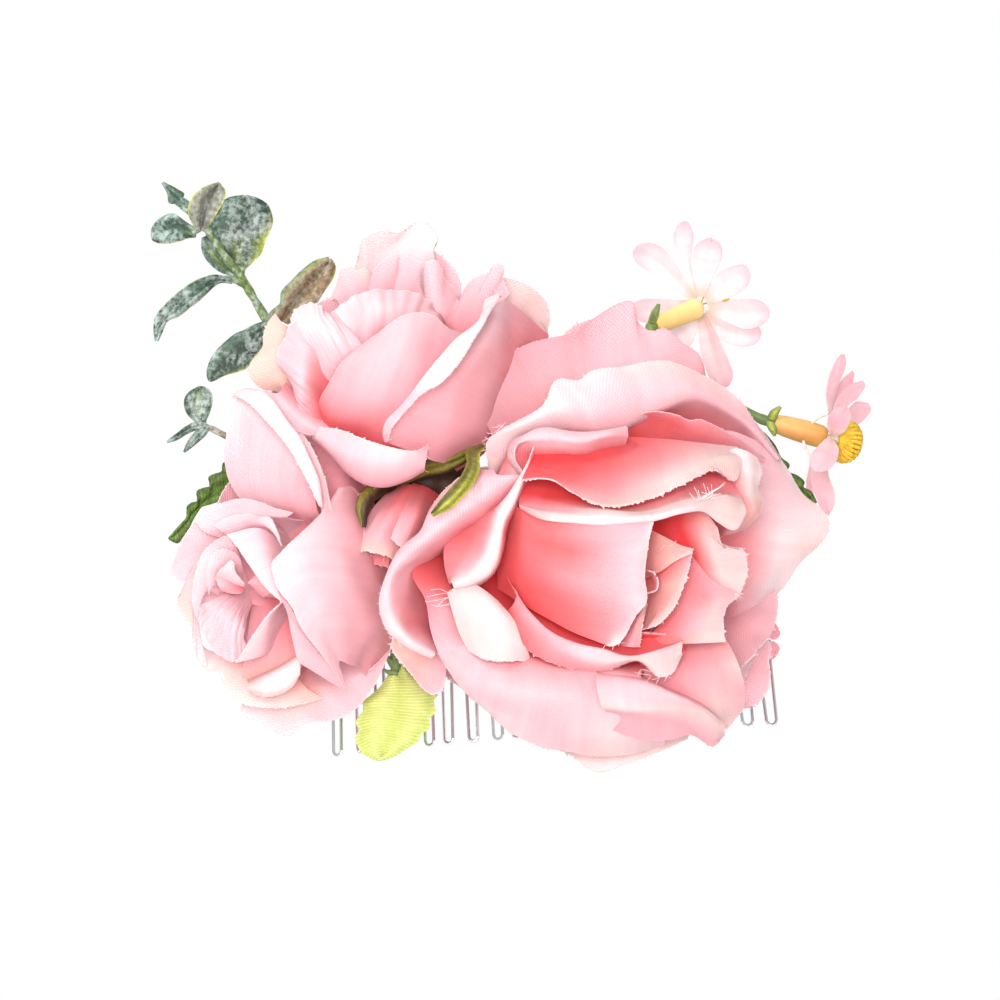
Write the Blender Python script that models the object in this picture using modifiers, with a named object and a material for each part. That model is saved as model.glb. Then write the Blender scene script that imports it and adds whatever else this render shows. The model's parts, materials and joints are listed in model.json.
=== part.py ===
"""Floral hair comb: a curved wire comb that carries three fabric roses, a rosebud, two plastic
eucalyptus sprigs, three small filler flowers and three fabric leaves.

Frame: origin at the middle of the comb's bar, +X along the bar, -Z along the teeth,
-Y out of the hair towards the flowers' faces.  Lengths below are in millimetres."""

import math

import bmesh
import bpy
from mathutils import Matrix, Vector

MM = 0.001

# Comb
BAR_LENGTH = 78.0
BAR_RADIUS = 0.6
COMB_BEND_RADIUS = 100.0
TEETH = 20
TOOTH_LENGTH = 37.0
WIRE_RADIUS = 0.3
WRAP_RADIUS = 1.35
LEG_SPACING = 2.3
TIP_RADIUS = 0.75
TURNS = 1.5

# Bouquet: its face leans a little in the comb's plane and looks slightly down the teeth
LEAN = math.radians(4.0)
PITCH = math.radians(10.0)

# Base
GLUE_LENGTH, GLUE_HEIGHT, GLUE_FRONT, GLUE_BACK = 58.0, 17.0, -5.2, -2.1
FELT_LENGTH, FELT_HEIGHT, FELT_THICKNESS, FELT_FRONT = 32.0, 13.0, 1.2, 3.4

# Fabric
PETAL_THICKNESS = 0.5
PIN_RADIUS = 0.8
HOLE_RADIUS = 1.35

# Filler flowers
TUBE_RADIUS = 2.3
FILLER_HOLE = 1.0
FILLER_PIN = 0.6

for thing in list(bpy.data.objects):
    bpy.data.objects.remove(thing, do_unlink=True)

comb = bpy.data.collections.new("floral_hair_comb")
bpy.context.scene.collection.children.link(comb)


def material(name, colour, roughness=0.6, metallic=0.0):
    m = bpy.data.materials.new(name)
    m.use_nodes = True
    shader = m.node_tree.nodes["Principled BSDF"]
    shader.inputs["Base Color"].default_value = (*colour, 1.0)
    shader.inputs["Roughness"].default_value = roughness
    shader.inputs["Metallic"].default_value = metallic
    m.diffuse_color = (*colour, 1.0)
    return m


STEEL = material("wire_steel", (0.72, 0.72, 0.73), 0.25, 1.0)
FELT = material("felt_white", (0.90, 0.88, 0.86), 0.95)
GLUE = material("hot_glue", (0.86, 0.80, 0.68), 0.35)
PINK = material("petal_pink", (0.96, 0.62, 0.66), 0.75)
CORAL = material("petal_coral", (0.95, 0.40, 0.42), 0.75)
PALE = material("petal_pale", (0.98, 0.80, 0.82), 0.75)
CORE = material("core_foam", (0.97, 0.72, 0.70), 0.85)
GREEN = material("calyx_green", (0.30, 0.38, 0.12), 0.5)
FROST = material("eucalyptus_frosted", (0.42, 0.52, 0.44), 0.6)
STEM = material("stem_green", (0.36, 0.52, 0.18), 0.5)
TUBE = material("tube_straw", (0.80, 0.68, 0.36), 0.5)
YELLOW = material("stamen_yellow", (0.95, 0.74, 0.20), 0.5)
LEAF_DARK = material("leaf_dark", (0.20, 0.36, 0.10), 0.8)
LEAF_LIME = material("leaf_lime", (0.76, 0.80, 0.36), 0.8)


def arc(x):
    """How far the comb has curved back, towards the head, at x."""
    return COMB_BEND_RADIUS - math.sqrt(COMB_BEND_RADIUS**2 - x * x)


def at(x, z, depth):
    """The point that lies x across and z up on the bouquet's face, at y = depth."""
    across = x * math.cos(LEAN) + z * math.sin(LEAN)
    up = -x * math.sin(LEAN) + z * math.cos(LEAN)
    return Vector((across, depth, up / math.cos(PITCH) + depth * math.tan(PITCH)))


def facing(right, back, up):
    """A direction given in the bouquet's own axes, as a unit vector in the comb's."""
    across = right * math.cos(LEAN) + up * math.sin(LEAN)
    rise = -right * math.sin(LEAN) + up * math.cos(LEAN)
    return Vector(
        (
            across,
            back * math.cos(PITCH) - rise * math.sin(PITCH),
            rise * math.cos(PITCH) + back * math.sin(PITCH),
        )
    ).normalized()


def placed(obj, origin, axis=None, spin=0.0):
    """Stands obj at origin (mm) with its local +Z along axis, turned by spin degrees about it."""
    if axis is not None:
        turn = Vector(axis).to_track_quat("Z", "Y").to_matrix().to_4x4()
        turn = turn @ Matrix.Rotation(math.radians(spin), 4, "Z")
        obj.rotation_mode = "QUATERNION"
        obj.rotation_quaternion = turn.to_quaternion()
    obj.location = Vector(origin) * MM
    return obj


def mesh_object(name, bm, mat, smooth=True):
    bmesh.ops.recalc_face_normals(bm, faces=bm.faces)
    mesh = bpy.data.meshes.new(name)
    bm.to_mesh(mesh)
    bm.free()
    obj = bpy.data.objects.new(name, mesh)
    mesh.materials.append(mat)
    comb.objects.link(obj)
    if smooth:
        mesh.shade_smooth()
        mesh.set_sharp_from_angle(angle=math.radians(40))
    return obj


def wire(name, points, radius, mat, resolution=1, tapers=None):
    """A round wire through points (mm), with closed ends."""
    data = bpy.data.curves.new(name, "CURVE")
    data.dimensions = "3D"
    data.bevel_depth = radius * MM
    data.bevel_resolution = resolution
    data.use_fill_caps = True
    data.resolution_u = 1
    spline = data.splines.new("POLY")
    spline.points.add(len(points) - 1)
    for i, p in enumerate(points):
        spline.points[i].co = (*(Vector(p) * MM), 1.0)
        spline.points[i].radius = 1.0 if tapers is None else tapers[i]
    obj = bpy.data.objects.new(name, data)
    data.materials.append(mat)
    comb.objects.link(obj)
    return obj


def smooth_path(points, steps):
    """Catmull-Rom points through the given ones."""
    pts = [Vector(p) for p in points]
    pts = [2 * pts[0] - pts[1]] + pts + [2 * pts[-1] - pts[-2]]
    out = []
    for i in range(1, len(pts) - 2):
        a, b, c, d = pts[i - 1 : i + 3]
        for k in range(steps):
            t = k / steps
            out.append(
                0.5
                * (
                    2 * b
                    + (c - a) * t
                    + (2 * a - 5 * b + 4 * c - d) * t * t
                    + (3 * b - 3 * c + d - a) * t**3
                )
            )
    out.append(pts[-2])
    return out


def turned(name, profile, mat, steps=12):
    """A body of revolution about local Z. profile runs from its low end on the axis to its high end on the axis."""
    bm = bmesh.new()
    points = [bm.verts.new((r * MM, 0, h * MM)) for r, h in reversed(profile)]
    for a, b in zip(points, points[1:]):
        bm.edges.new((a, b))
    mesh = bpy.data.meshes.new(name)
    bm.to_mesh(mesh)
    bm.free()
    obj = bpy.data.objects.new(name, mesh)
    mesh.materials.append(mat)
    comb.objects.link(obj)
    screw = obj.modifiers.new("turn", "SCREW")
    screw.axis = "Z"
    screw.steps = steps
    screw.render_steps = steps
    screw.use_merge_vertices = True
    screw.merge_threshold = 0.00001
    screw.use_smooth_shade = True
    screw.use_normal_calculate = True
    return obj


def ring_solid(name, rings, mat, bottom, top):
    """A loft through rings of unlike outline, closed to a point at each end."""
    bm = bmesh.new()
    rows = [[bm.verts.new(Vector(p) * MM) for p in ring] for ring in rings]
    low, high = bm.verts.new(Vector(bottom) * MM), bm.verts.new(Vector(top) * MM)
    n = len(rings[0])
    for row, other in zip(rows, rows[1:]):
        for i in range(n):
            j = (i + 1) % n
            bm.faces.new((row[i], row[j], other[j], other[i]))
    for i in range(n):
        j = (i + 1) % n
        bm.faces.new((low, rows[0][j], rows[0][i]))
        bm.faces.new((high, rows[-1][i], rows[-1][j]))
    return mesh_object(name, bm, mat)


def whorl(
    name, petals, hole, radius, low, high, mat,
    swell=1.0, rise=1.5, notch=0.25, per_petal=4, rings=4, thickness=PETAL_THICKNESS, curl=0.0,
):
    """One die-cut layer of petals: a lobed cup round a central hole, as an open sheet with Solidify.
    swell pushes the cup's wall outwards early, rise keeps its floor flat, notch is how deep the cuts between petals go."""
    bm = bmesh.new()
    n = petals * per_petal
    grid = []
    for j in range(rings + 1):
        row = []
        for i in range(n):
            angle = 2 * math.pi * i / n
            lobe = abs(math.cos(petals * angle / 2)) ** 0.6
            reach = (j / rings) * (1 - notch * (1 - lobe))
            r = hole + (radius - hole) * (1 - (1 - reach) ** swell)
            h = low + (high - low) * reach**rise - curl * max(0.0, reach - 0.75) * 4
            row.append(bm.verts.new((r * math.cos(angle) * MM, r * math.sin(angle) * MM, h * MM)))
        grid.append(row)
    for j in range(rings):
        for i in range(n):
            k = (i + 1) % n
            bm.faces.new((grid[j][i], grid[j][k], grid[j + 1][k], grid[j + 1][i]))
    obj = mesh_object(name, bm, mat)
    skin = obj.modifiers.new("fabric", "SOLIDIFY")
    skin.thickness = thickness * MM
    skin.offset = 0.0
    return obj


def leaf(name, base, tip, half_width, face, mat, cup=0.25, droop=0.08, stations=6, thickness=0.7, blunt=0.75):
    """A leaf from base to tip (mm). face is the way its upper side looks."""
    base, tip = Vector(base), Vector(tip)
    along = tip - base
    length = along.length
    along.normalize()
    face = Vector(face)
    face = (face - face.dot(along) * along).normalized()
    side = along.cross(face)
    bm = bmesh.new()
    grid = []
    for j in range(stations + 1):
        t = 0.04 + 0.96 * j / stations
        width = half_width * max(0.10, math.sin(math.pi * t**blunt) ** 0.7)
        middle = base + along * length * t - face * droop * length * t * t
        grid.append(
            [
                bm.verts.new((middle + side * width * s + face * cup * width * abs(s)) * MM)
                for s in (-1.0, 0.0, 1.0)
            ]
        )
    for a, b in zip(grid, grid[1:]):
        for i in range(2):
            bm.faces.new((a[i], a[i + 1], b[i + 1], b[i]))
    obj = mesh_object(name, bm, mat)
    skin = obj.modifiers.new("thickness", "SOLIDIFY")
    skin.thickness = thickness * MM
    skin.offset = 0.0
    return obj


# ---------------------------------------------------------------- comb
def on_bar(x, forward, up):
    """A point forward of (+) and above the curved bar at x."""
    lean = math.asin(x / COMB_BEND_RADIUS)
    return Vector((x + forward * math.sin(lean), arc(x) - forward * math.cos(lean), up))


half = BAR_LENGTH / 2
bar = wire(
    "comb_bar", [on_bar(-half + BAR_LENGTH * i / 16, 0, 0) for i in range(17)], BAR_RADIUS, STEEL, 2
)

pitch = (BAR_LENGTH - 2.0) / TEETH
path = []
for tooth in range(TEETH):
    centre = -half + 1.0 + pitch * (tooth + 0.5)
    sway = 0.35 * math.sin(2.1 * tooth) - 0.3
    for side in (-1, 1):
        # Each tooth comes down behind the bar and goes up in front of it.
        front = -WRAP_RADIUS if side < 0 else WRAP_RADIUS
        legs = []
        for t in (0.0, 0.35, 0.72):
            spread = LEG_SPACING / 2 * (1 - t) + TIP_RADIUS * t
            bow = -1.6 * math.sin(math.pi * t) * 0.8
            legs.append(
                on_bar(
                    centre + side * spread + sway * t,
                    front * (1 - t) + bow,
                    -0.2 - (TOOTH_LENGTH - 0.2 - TIP_RADIUS) * t / 0.98,
                )
            )
        path += legs if side < 0 else []
        if side < 0:
            for k in range(5):
                angle = math.pi * k / 4
                path.append(
                    on_bar(
                        centre - TIP_RADIUS * math.cos(angle) + sway,
                        -0.15 + 0.1 * k,
                        -(TOOTH_LENGTH - TIP_RADIUS) - TIP_RADIUS * math.sin(angle),
                    )
                )
        else:
            path += legs[::-1]
    if tooth < TEETH - 1:
        start, end = centre + LEG_SPACING / 2, centre + pitch - LEG_SPACING / 2
        steps = 11
        for k in range(1, steps):
            angle = TURNS * 2 * math.pi * k / steps
            path.append(
                on_bar(
                    start + (end - start) * k / steps,
                    WRAP_RADIUS * math.cos(angle),
                    WRAP_RADIUS * math.sin(angle),
                )
            )
wire("comb_teeth", path, WIRE_RADIUS, STEEL, 1)


def bent_block(name, length, height, front, back, mat, follow=1.0, bevel=1.2, cuts=8):
    bm = bmesh.new()
    bmesh.ops.create_cube(bm, size=1.0)
    across = [e for e in bm.edges if abs(e.verts[0].co.x - e.verts[1].co.x) > 0.5]
    bmesh.ops.subdivide_edges(bm, edges=across, cuts=cuts)
    for v in bm.verts:
        x = v.co.x * length
        y = (front + back) / 2 + v.co.y * (back - front)
        v.co = Vector((x, y + follow * arc(x), v.co.z * height)) * MM
    obj = mesh_object(name, bm, mat, smooth=False)
    if bevel:
        edge = obj.modifiers.new("edge", "BEVEL")
        edge.width = bevel * MM
        edge.segments = 2
        edge.limit_method = "ANGLE"
        edge.angle_limit = math.radians(40)
    return obj


bent_block("glue_bed", GLUE_LENGTH, GLUE_HEIGHT, GLUE_FRONT, GLUE_BACK, GLUE)

felt = bpy.data.curves.new("felt_backing", "CURVE")
felt.dimensions = "2D"
felt.fill_mode = "BOTH"
felt.extrude = FELT_THICKNESS / 2 * MM
outline = felt.splines.new("POLY")
corner = 5.0
ring = []
for cx, cz, start in ((1, 1, 0), (-1, 1, 90), (-1, -1, 180), (1, -1, 270)):
    for k in range(5):
        a = math.radians(start + 22.5 * k)
        ring.append(
            (
                cx * (FELT_LENGTH / 2 - corner) + corner * math.cos(a),
                cz * (FELT_HEIGHT / 2 - corner) + corner * math.sin(a),
            )
        )
outline.points.add(len(ring) - 1)
for p, (x, z) in zip(outline.points, ring):
    p.co = (x * MM, z * MM, 0, 1)
outline.use_cyclic_u = True
felt.materials.append(FELT)
pad = bpy.data.objects.new("felt_backing", felt)
comb.objects.link(pad)
pad.rotation_euler = (math.radians(90), 0, 0)
pad.location = (0, (FELT_FRONT + FELT_THICKNESS / 2) * MM, 0)


# ---------------------------------------------------------------- roses
def calyx(name, origin, axis, bulb, stub, sepal, spin=0.0, lobes=5, mat=GREEN):
    """A moulded calyx: a stub, a bulb and pointed sepals in one piece. It stands with its seat at h = -0.6."""
    n = lobes * 4

    def circle(r, h):
        return [
            (r * math.cos(2 * math.pi * i / n), r * math.sin(2 * math.pi * i / n), h) for i in range(n)
        ]

    def star(r_in, r_out, h_in, h_out):
        row = []
        for i in range(n):
            a = 2 * math.pi * i / n
            k = max(0.0, math.cos(lobes * a)) ** 1.5
            r = r_in + (r_out - r_in) * k
            row.append((r * math.cos(a), r * math.sin(a), h_in + (h_out - h_in) * k))
        return row

    rings = [
        circle(1.1, -stub),
        circle(1.1, -bulb - 0.6),
        circle(bulb * 0.75, -bulb * 0.7 - 0.6),
        circle(bulb * 0.95, -1.4),
        star(bulb, sepal, -1.2, -2.0),
        star(bulb * 0.9, sepal * 0.96, -0.7, -1.5),
    ]
    obj = ring_solid(name, rings, mat, (0, 0, -stub), (0, 0, -0.7))
    return placed(obj, origin, axis, spin)


def core(name, origin, axis, low, high, radius, mat=CORE):
    """The bud core, with the pin that threads every petal layer."""
    profile = [
        (0, -0.3), (PIN_RADIUS, -0.3), (PIN_RADIUS, low), (radius * 0.55, low + 0.4),
        (radius, low + (high - low) * 0.4), (radius * 0.8, low + (high - low) * 0.75), (0, high),
    ]
    return placed(turned(name, profile, mat, 10), origin, axis)


LARGE = at(5.6, 1.0, -15.5)
LARGE_AXIS = facing(0.40, -0.91, -0.05)
calyx("rose_large_calyx", LARGE, LARGE_AXIS, 4.0, 10.2, 11.0)
# name, petals, radius, low, high, swell, rise, notch, curl, material, spin
for number, (petals, radius, low, high, swell, rise, notch, curl, mat, spin) in enumerate(
    [
        (3, 7.6, 7.6, 32.5, 3.0, 1.4, 0.10, 0.0, CORAL, 10),
        (3, 12.8, 6.2, 32.0, 2.4, 1.5, 0.12, 0.0, CORAL, 70),
        (4, 19.0, 4.8, 30.0, 1.9, 1.6, 0.14, 0.0, CORAL, 20),
        (4, 26.0, 3.4, 26.0, 1.6, 1.7, 0.16, 0.0, PINK, 55),
        (5, 33.0, 2.0, 20.0, 1.35, 1.8, 0.18, 0.6, PINK, 15),
        (5, 39.0, 0.6, 12.0, 1.15, 1.9, 0.20, 1.0, PALE, 40),
    ],
    1,
):
    obj = whorl(
        f"rose_large_petals_{number}", petals, HOLE_RADIUS, radius, low, high, mat,
        swell=swell, rise=rise, notch=notch, curl=curl,
    )
    placed(obj, LARGE, LARGE_AXIS, spin)
core("rose_large_core", LARGE, LARGE_AXIS, 9.4, 29.0, 4.0)

SMALL_WHORLS = [
    (3, 6.0, 5.4, 23.0, 2.8, 1.4, 0.10, 0.0, PINK, 0),
    (4, 10.5, 4.0, 22.0, 2.2, 1.5, 0.12, 0.0, PINK, 35),
    (4, 15.5, 2.4, 19.5, 1.8, 1.6, 0.15, 0.0, PALE, 10),
    (5, 20.0, 0.8, 15.0, 1.4, 1.7, 0.18, 0.4, PALE, 50),
]


def small_rose(name, origin, axis, stub, grow=1.0):
    calyx(f"{name}_calyx", origin, axis, 3.0, stub, 8.0, spin=20)
    for number, (petals, radius, low, high, swell, rise, notch, curl, mat, spin) in enumerate(
        SMALL_WHORLS, 1
    ):
        obj = whorl(
            f"{name}_petals_{number}", petals, HOLE_RADIUS, radius * grow, low, high * grow, mat,
            swell=swell, rise=rise, notch=notch, curl=curl, rings=3,
        )
        placed(obj, origin, axis, spin)
    core(f"{name}_core", origin, axis, 7.0, 20.0 * grow, 3.2)


small_rose("rose_upper", at(-21.6, 15.8, -11.6), facing(-0.22, -0.60, 0.77), 7.6)
small_rose("rose_lower", at(-32.4, -10.0, -8.0), facing(-0.80, -0.58, -0.05), 9.5, 0.95)

BUD = at(-17.4, 5.2, -12.0)
BUD_AXIS = facing(-0.45, -0.66, -0.60)
calyx("rosebud_calyx", BUD, BUD_AXIS, 2.0, 7.0, 6.0, spin=10)
placed(
    whorl("rosebud_petals", 3, HOLE_RADIUS, 4.6, 0.8, 15.0, PALE, swell=2.6, rise=1.4, notch=0.1, rings=3),
    BUD, BUD_AXIS,
)
core("rosebud_core", BUD, BUD_AXIS, 4.5, 12.0, 2.0)

# ---------------------------------------------------------------- eucalyptus sprigs
UPPER = [(-24.0, 9.0, -3.4), (-34.9, 19.1, -5.0), (-45.2, 32.0, -6.0), (-50.4, 39.4, -7.0),
         (-54.0, 45.5, -7.6), (-57.3, 50.6, -8.2), (-59.6, 53.2, -8.6)]
wire(
    "sprig_upper_stem", smooth_path([at(*p) for p in UPPER], 2), 0.75, FROST, 1,
    tapers=[1.15 - 0.05 * i for i in range(13)],
)
LOWER = [(-30.5, 2.5, -0.6), (-42.0, 9.5, -3.0), (-50.4, 12.6, -4.5), (-55.2, 14.4, -5.0)]
wire(
    "sprig_lower_stem", smooth_path([at(*p) for p in LOWER], 2), 0.7, FROST, 1,
    tapers=[1.1 - 0.04 * i for i in range(7)],
)
UNDER = {}
# name, base (across, up, depth), tip, half width, facing (right, back, up), cup
SPRIG_LEAVES = [
    ("sprig_upper_leaf_1", (-59.2, 51.6, -7.0), (-61.9, 54.9, -6.0), 1.7, (0.4, -0.7, 0.5), 0.8),
    ("sprig_upper_leaf_2", (-57.6, 47.4, -6.4), (-64.0, 46.4, -4.0), 2.3, (-0.1, -0.8, 0.5), 0.3),
    ("sprig_upper_leaf_3", (-55.6, 47.6, -9.6), (-55.0, 54.8, -13.0), 2.5, (0.2, 0.8, 0.3), 0.3),
    ("sprig_upper_leaf_4", (-49.0, 41.0, -5.6), (-48.4, 53.0, -4.0), 4.6, (-0.2, -0.95, 0.1), 0.15),
    ("sprig_upper_leaf_5", (-53.6, 42.0, -5.4), (-57.4, 44.2, -1.6), 2.0, (-0.2, -0.9, 0.2), 0.3),
    ("sprig_upper_leaf_6", (-52.4, 38.6, -8.6), (-63.8, 29.6, -11.0), 2.2, (-0.3, -0.6, 0.6), 0.4),
    ("sprig_upper_leaf_7", (-43.6, 33.4, -5.0), (-35.4, 42.2, -7.0), 2.9, (0.4, 0.6, -0.3), 0.35),
    ("sprig_upper_leaf_8", (-46.4, 30.6, -4.2), (-55.0, 22.8, -2.0), 3.3, (-0.2, -0.9, 0.3), 0.25),
    ("sprig_lower_leaf_1", (-55.8, 15.8, -4.2), (-56.6, 21.2, -3.4), 2.3, (-0.1, -0.95, 0.1), 0.3),
    ("sprig_lower_leaf_2", (-56.8, 14.2, -5.8), (-62.0, 12.4, -7.0), 1.5, (0.2, -0.3, 0.9), 0.3),
    ("sprig_lower_leaf_3", (-56.2, 12.8, -4.6), (-59.0, 10.6, -3.8), 1.5, (-0.4, -0.7, 0.5), 0.4),
]
for name, base, tip, half_width, look, cup in SPRIG_LEAVES:
    leaf(name, at(*base), at(*tip), half_width, facing(*look), FROST, cup=cup)

# ---------------------------------------------------------------- fabric leaves
leaf("leaf_left", at(-45.6, 8.2, -1.2), at(-61.2, -4.3, 1.5), 4.4, facing(-0.2, -0.95, 0.2), LEAF_DARK, cup=0.1, thickness=0.5)
leaf("leaf_right", at(36.0, 13.0, -1.5), at(45.4, 2.4, -1.0), 3.4, facing(0.2, -0.95, 0.2), LEAF_DARK, cup=0.1, thickness=0.5)
leaf("leaf_bottom", at(-21.6, -25.0, -5.2), at(-27.2, -40.2, -6.6), 6.6, facing(0.05, -0.98, 0.1), LEAF_LIME, cup=0.1, thickness=0.5, blunt=0.85)
BOTTOM = [(-20.5, -7.6, -3.8), (-21.5, -14.0, -5.2), (-24.6, -21.0, -6.2), (-23.0, -25.2, -6.8)]
wire("leaf_bottom_stem", smooth_path([at(*p) for p in BOTTOM], 2), 0.6, STEM, 1)


# ---------------------------------------------------------------- filler flowers
def filler(name, root, bend, origin, axis, tube_length, radius, petals=8):
    """A filler flower: green stem, straw tube, a petal whorl that turns on the stamen's pin, and the stamen."""
    axis = Vector(axis).normalized()
    foot = origin - axis * (tube_length + 1.2)
    stem = smooth_path([root, bend, foot - axis * 2.6, foot - axis * 0.7], 3)
    wire(f"{name}_stem", stem, 0.6, STEM, 1, tapers=[1.0 + 0.05 * i for i in range(len(stem))])
    tube = turned(
        f"{name}_tube",
        [(0, 0), (1.5, 0), (1.9, 1.0), (TUBE_RADIUS, tube_length * 0.55), (TUBE_RADIUS * 0.9, tube_length), (0, tube_length)],
        TUBE, 10,
    )
    placed(tube, foot, axis)
    turning = whorl(
        f"{name}_petals", petals, FILLER_HOLE, radius, 0.5, radius * 0.30, PALE,
        swell=1.0, rise=1.6, notch=0.45, per_petal=4, rings=2, thickness=0.4,
    )
    placed(turning, origin - axis * 0.85, axis)
    stamen = turned(
        f"{name}_stamen",
        [(0, -0.9), (FILLER_PIN, -0.9), (FILLER_PIN, 0.7), (1.7, 0.7), (2.1, 1.9), (1.5, 3.1), (0, 3.4)],
        YELLOW, 10,
    )
    placed(stamen, origin, axis)


FILLER_UPPER = facing(0.62, 0.74, 0.25)
FILLER_RIGHT = facing(0.94, 0.20, -0.27)
FILLER_LOWER = facing(0.75, -0.35, -0.55)
filler("filler_upper", at(12.6, 10.6, -3.6), at(14.0, 21.0, -9.4), at(27.4, 35.6, -5.0), FILLER_UPPER, 9.5, 11.5)
filler("filler_right", at(21.4, 11.6, -1.4), at(30.0, 13.6, -4.6), at(48.0, 13.2, -4.5), FILLER_RIGHT, 8.6, 12.0)
filler("filler_lower", at(22.0, -7.5, -1.8), at(24.0, -14.0, -1.0), at(34.2, -21.4, -0.6), FILLER_LOWER, 5.0, 6.4, 7)
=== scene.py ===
"""Looks for the floral hair comb: cloth petals, leaves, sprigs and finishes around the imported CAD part."""

import json
import math

import bmesh
import bpy
import numpy as np
from mathutils import Matrix, Vector, noise


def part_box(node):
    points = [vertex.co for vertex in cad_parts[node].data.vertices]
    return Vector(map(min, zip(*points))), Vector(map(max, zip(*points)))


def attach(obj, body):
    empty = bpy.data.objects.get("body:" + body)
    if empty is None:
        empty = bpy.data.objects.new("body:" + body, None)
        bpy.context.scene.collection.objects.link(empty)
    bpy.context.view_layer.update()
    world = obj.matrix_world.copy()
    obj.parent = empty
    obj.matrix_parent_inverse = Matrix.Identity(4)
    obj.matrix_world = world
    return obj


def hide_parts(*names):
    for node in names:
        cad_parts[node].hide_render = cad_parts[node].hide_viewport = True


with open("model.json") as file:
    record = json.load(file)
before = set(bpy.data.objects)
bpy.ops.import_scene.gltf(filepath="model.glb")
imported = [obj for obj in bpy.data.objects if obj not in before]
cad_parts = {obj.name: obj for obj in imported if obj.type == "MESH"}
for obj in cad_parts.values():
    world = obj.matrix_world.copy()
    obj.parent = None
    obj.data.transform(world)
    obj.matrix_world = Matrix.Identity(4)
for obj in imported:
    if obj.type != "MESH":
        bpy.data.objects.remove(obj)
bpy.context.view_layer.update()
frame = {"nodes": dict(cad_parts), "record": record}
BODY = "bouquet"

# ------------------------------------------------------------------ the view and the drawing sheet
# Shapes are drawn on a sheet that faces the camera. Its unit is a sixth of a millimetre, its
# x runs right and its y down, and the comb's mount is at (540, 515). d is millimetres towards the eye.
UNIT = 0.001 / 6
EYE = 0.9
LEAN, PITCH = math.radians(4.0), math.radians(10.0)
MOUNT = Vector(next(m for m in frame["record"]["mounts"] if m["name"] == "in_hair")["pos_m"])
_r, _u = Vector((1, 0, 0)), Vector((0, -math.sin(PITCH), math.cos(PITCH)))
AWAY = Vector((0, math.cos(PITCH), math.sin(PITCH)))
RIGHT = _r * math.cos(LEAN) - _u * math.sin(LEAN)
UP = _r * math.sin(LEAN) + _u * math.cos(LEAN)


def on_sheet(p):
    """Where a point of the part falls on the sheet: x, y, d."""
    v = Vector(p) - MOUNT
    d = -v.dot(AWAY) * 1000
    k = (EYE * 1000 - d) / (EYE * 1000)
    return 540 + v.dot(RIGHT) / UNIT / k, 515 - v.dot(UP) / UNIT / k, d


class Sheet:
    """The sheet, pinned to a CAD node: the middle of the node's box was drawn at (x, y)."""

    def __init__(self, node, x, y):
        low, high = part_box(node)
        sx, sy, _ = on_sheet((low + high) / 2)
        self.dx, self.dy = sx - x, sy - y

    def __call__(self, x, y, d):
        k = (EYE * 1000 - d) / (EYE * 1000)
        return (
            MOUNT
            + (RIGHT * (x + self.dx - 540) - UP * (y + self.dy - 515)) * UNIT * k
            - AWAY * d * 0.001
        )


# ------------------------------------------------------------------ colours
def lin(rgb):
    return tuple((c / 12.92 if c <= 0.04045 else ((c + 0.055) / 1.055) ** 2.4) for c in (v / 255 for v in rgb))


TINTS = {
    "W": lin((255, 249, 250)),
    "C": lin((253, 241, 236)),
    # G, a greyed white, is pale cloth darkened by painted shade where rims turn from the light
    "G": lin((251, 233, 230)),
    "P": lin((255, 225, 232)),
    "K": lin((254, 201, 210)),
    "k": lin((249, 198, 206)),
    "R": lin((254, 168, 175)),
    # O and X are the deep coral dye at petal bases; where they fill crevices, hollows and shadow lines they are painted
    # shade as well
    "O": lin((254, 120, 124)),
    "X": lin((252, 80, 86)),
    # D is painted shade: the dark red of shadow lines and holes between petals
    "D": lin((205, 38, 42)),
    "E": lin((252, 205, 196)),
    "e": lin((254, 230, 216)),
    # M is painted shade: a coral-brown for the shaded insides of petals
    "M": lin((246, 170, 162)),
    "B": lin((238, 222, 217)),
    # greens, browns and yellows
    "F": lin((58, 80, 66)),
    "f": lin((96, 120, 104)),
    "g": lin((118, 138, 84)),
    "y": lin((150, 164, 84)),
    "Y": lin((196, 200, 72)),
    "N": lin((158, 132, 100)),
    "n": lin((112, 92, 62)),
    "U": lin((142, 140, 128)),
    "u": lin((104, 104, 96)),
    "H": lin((82, 112, 50)),
    "h": lin((112, 142, 66)),
    "L": lin((206, 216, 116)),
    "l": lin((224, 230, 142)),
    "Z": lin((134, 128, 48)),
    # z is painted shade: the dark brown where the sepals and the bud's heart lie in shadow
    "z": lin((62, 46, 30)),
    "t": lin((240, 226, 206)),
    "A": lin((240, 190, 62)),
}


# ------------------------------------------------------------------ materials
def nodes_of(name):
    m = bpy.data.materials.new(name)
    m.use_nodes = True
    nt = m.node_tree
    return m, nt, nt.nodes["Principled BSDF"]


def math_node(nt, op, a, b=None):
    n = nt.nodes.new("ShaderNodeMath")
    n.operation = op
    for i, v in enumerate((a, b)):
        if v is None:
            continue
        if isinstance(v, (int, float)):
            n.inputs[i].default_value = v
        else:
            nt.links.new(v, n.inputs[i])
    return n.outputs[0]


def mix_colour(nt, factor, a, b, blend="MIX"):
    n = nt.nodes.new("ShaderNodeMix")
    n.data_type = "RGBA"
    n.blend_type = blend
    sockets = {"f": n.inputs[0], "a": n.inputs[6], "b": n.inputs[7]}
    for key, v in (("f", factor), ("a", a), ("b", b)):
        if isinstance(v, (int, float)):
            sockets[key].default_value = v
        elif isinstance(v, tuple):
            sockets[key].default_value = (*v, 1.0)
        else:
            nt.links.new(v, sockets[key])
    return n.outputs[2]


def ramp(nt, fac, stops):
    n = nt.nodes.new("ShaderNodeValToRGB")
    nt.links.new(fac, n.inputs[0])
    e = n.color_ramp.elements
    while len(e) < len(stops):
        e.new(0.5)
    for el, (pos, col) in zip(e, stops):
        el.position = pos
        el.color = (*col, 1.0) if len(col) == 3 else col
    return n.outputs[0]


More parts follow.
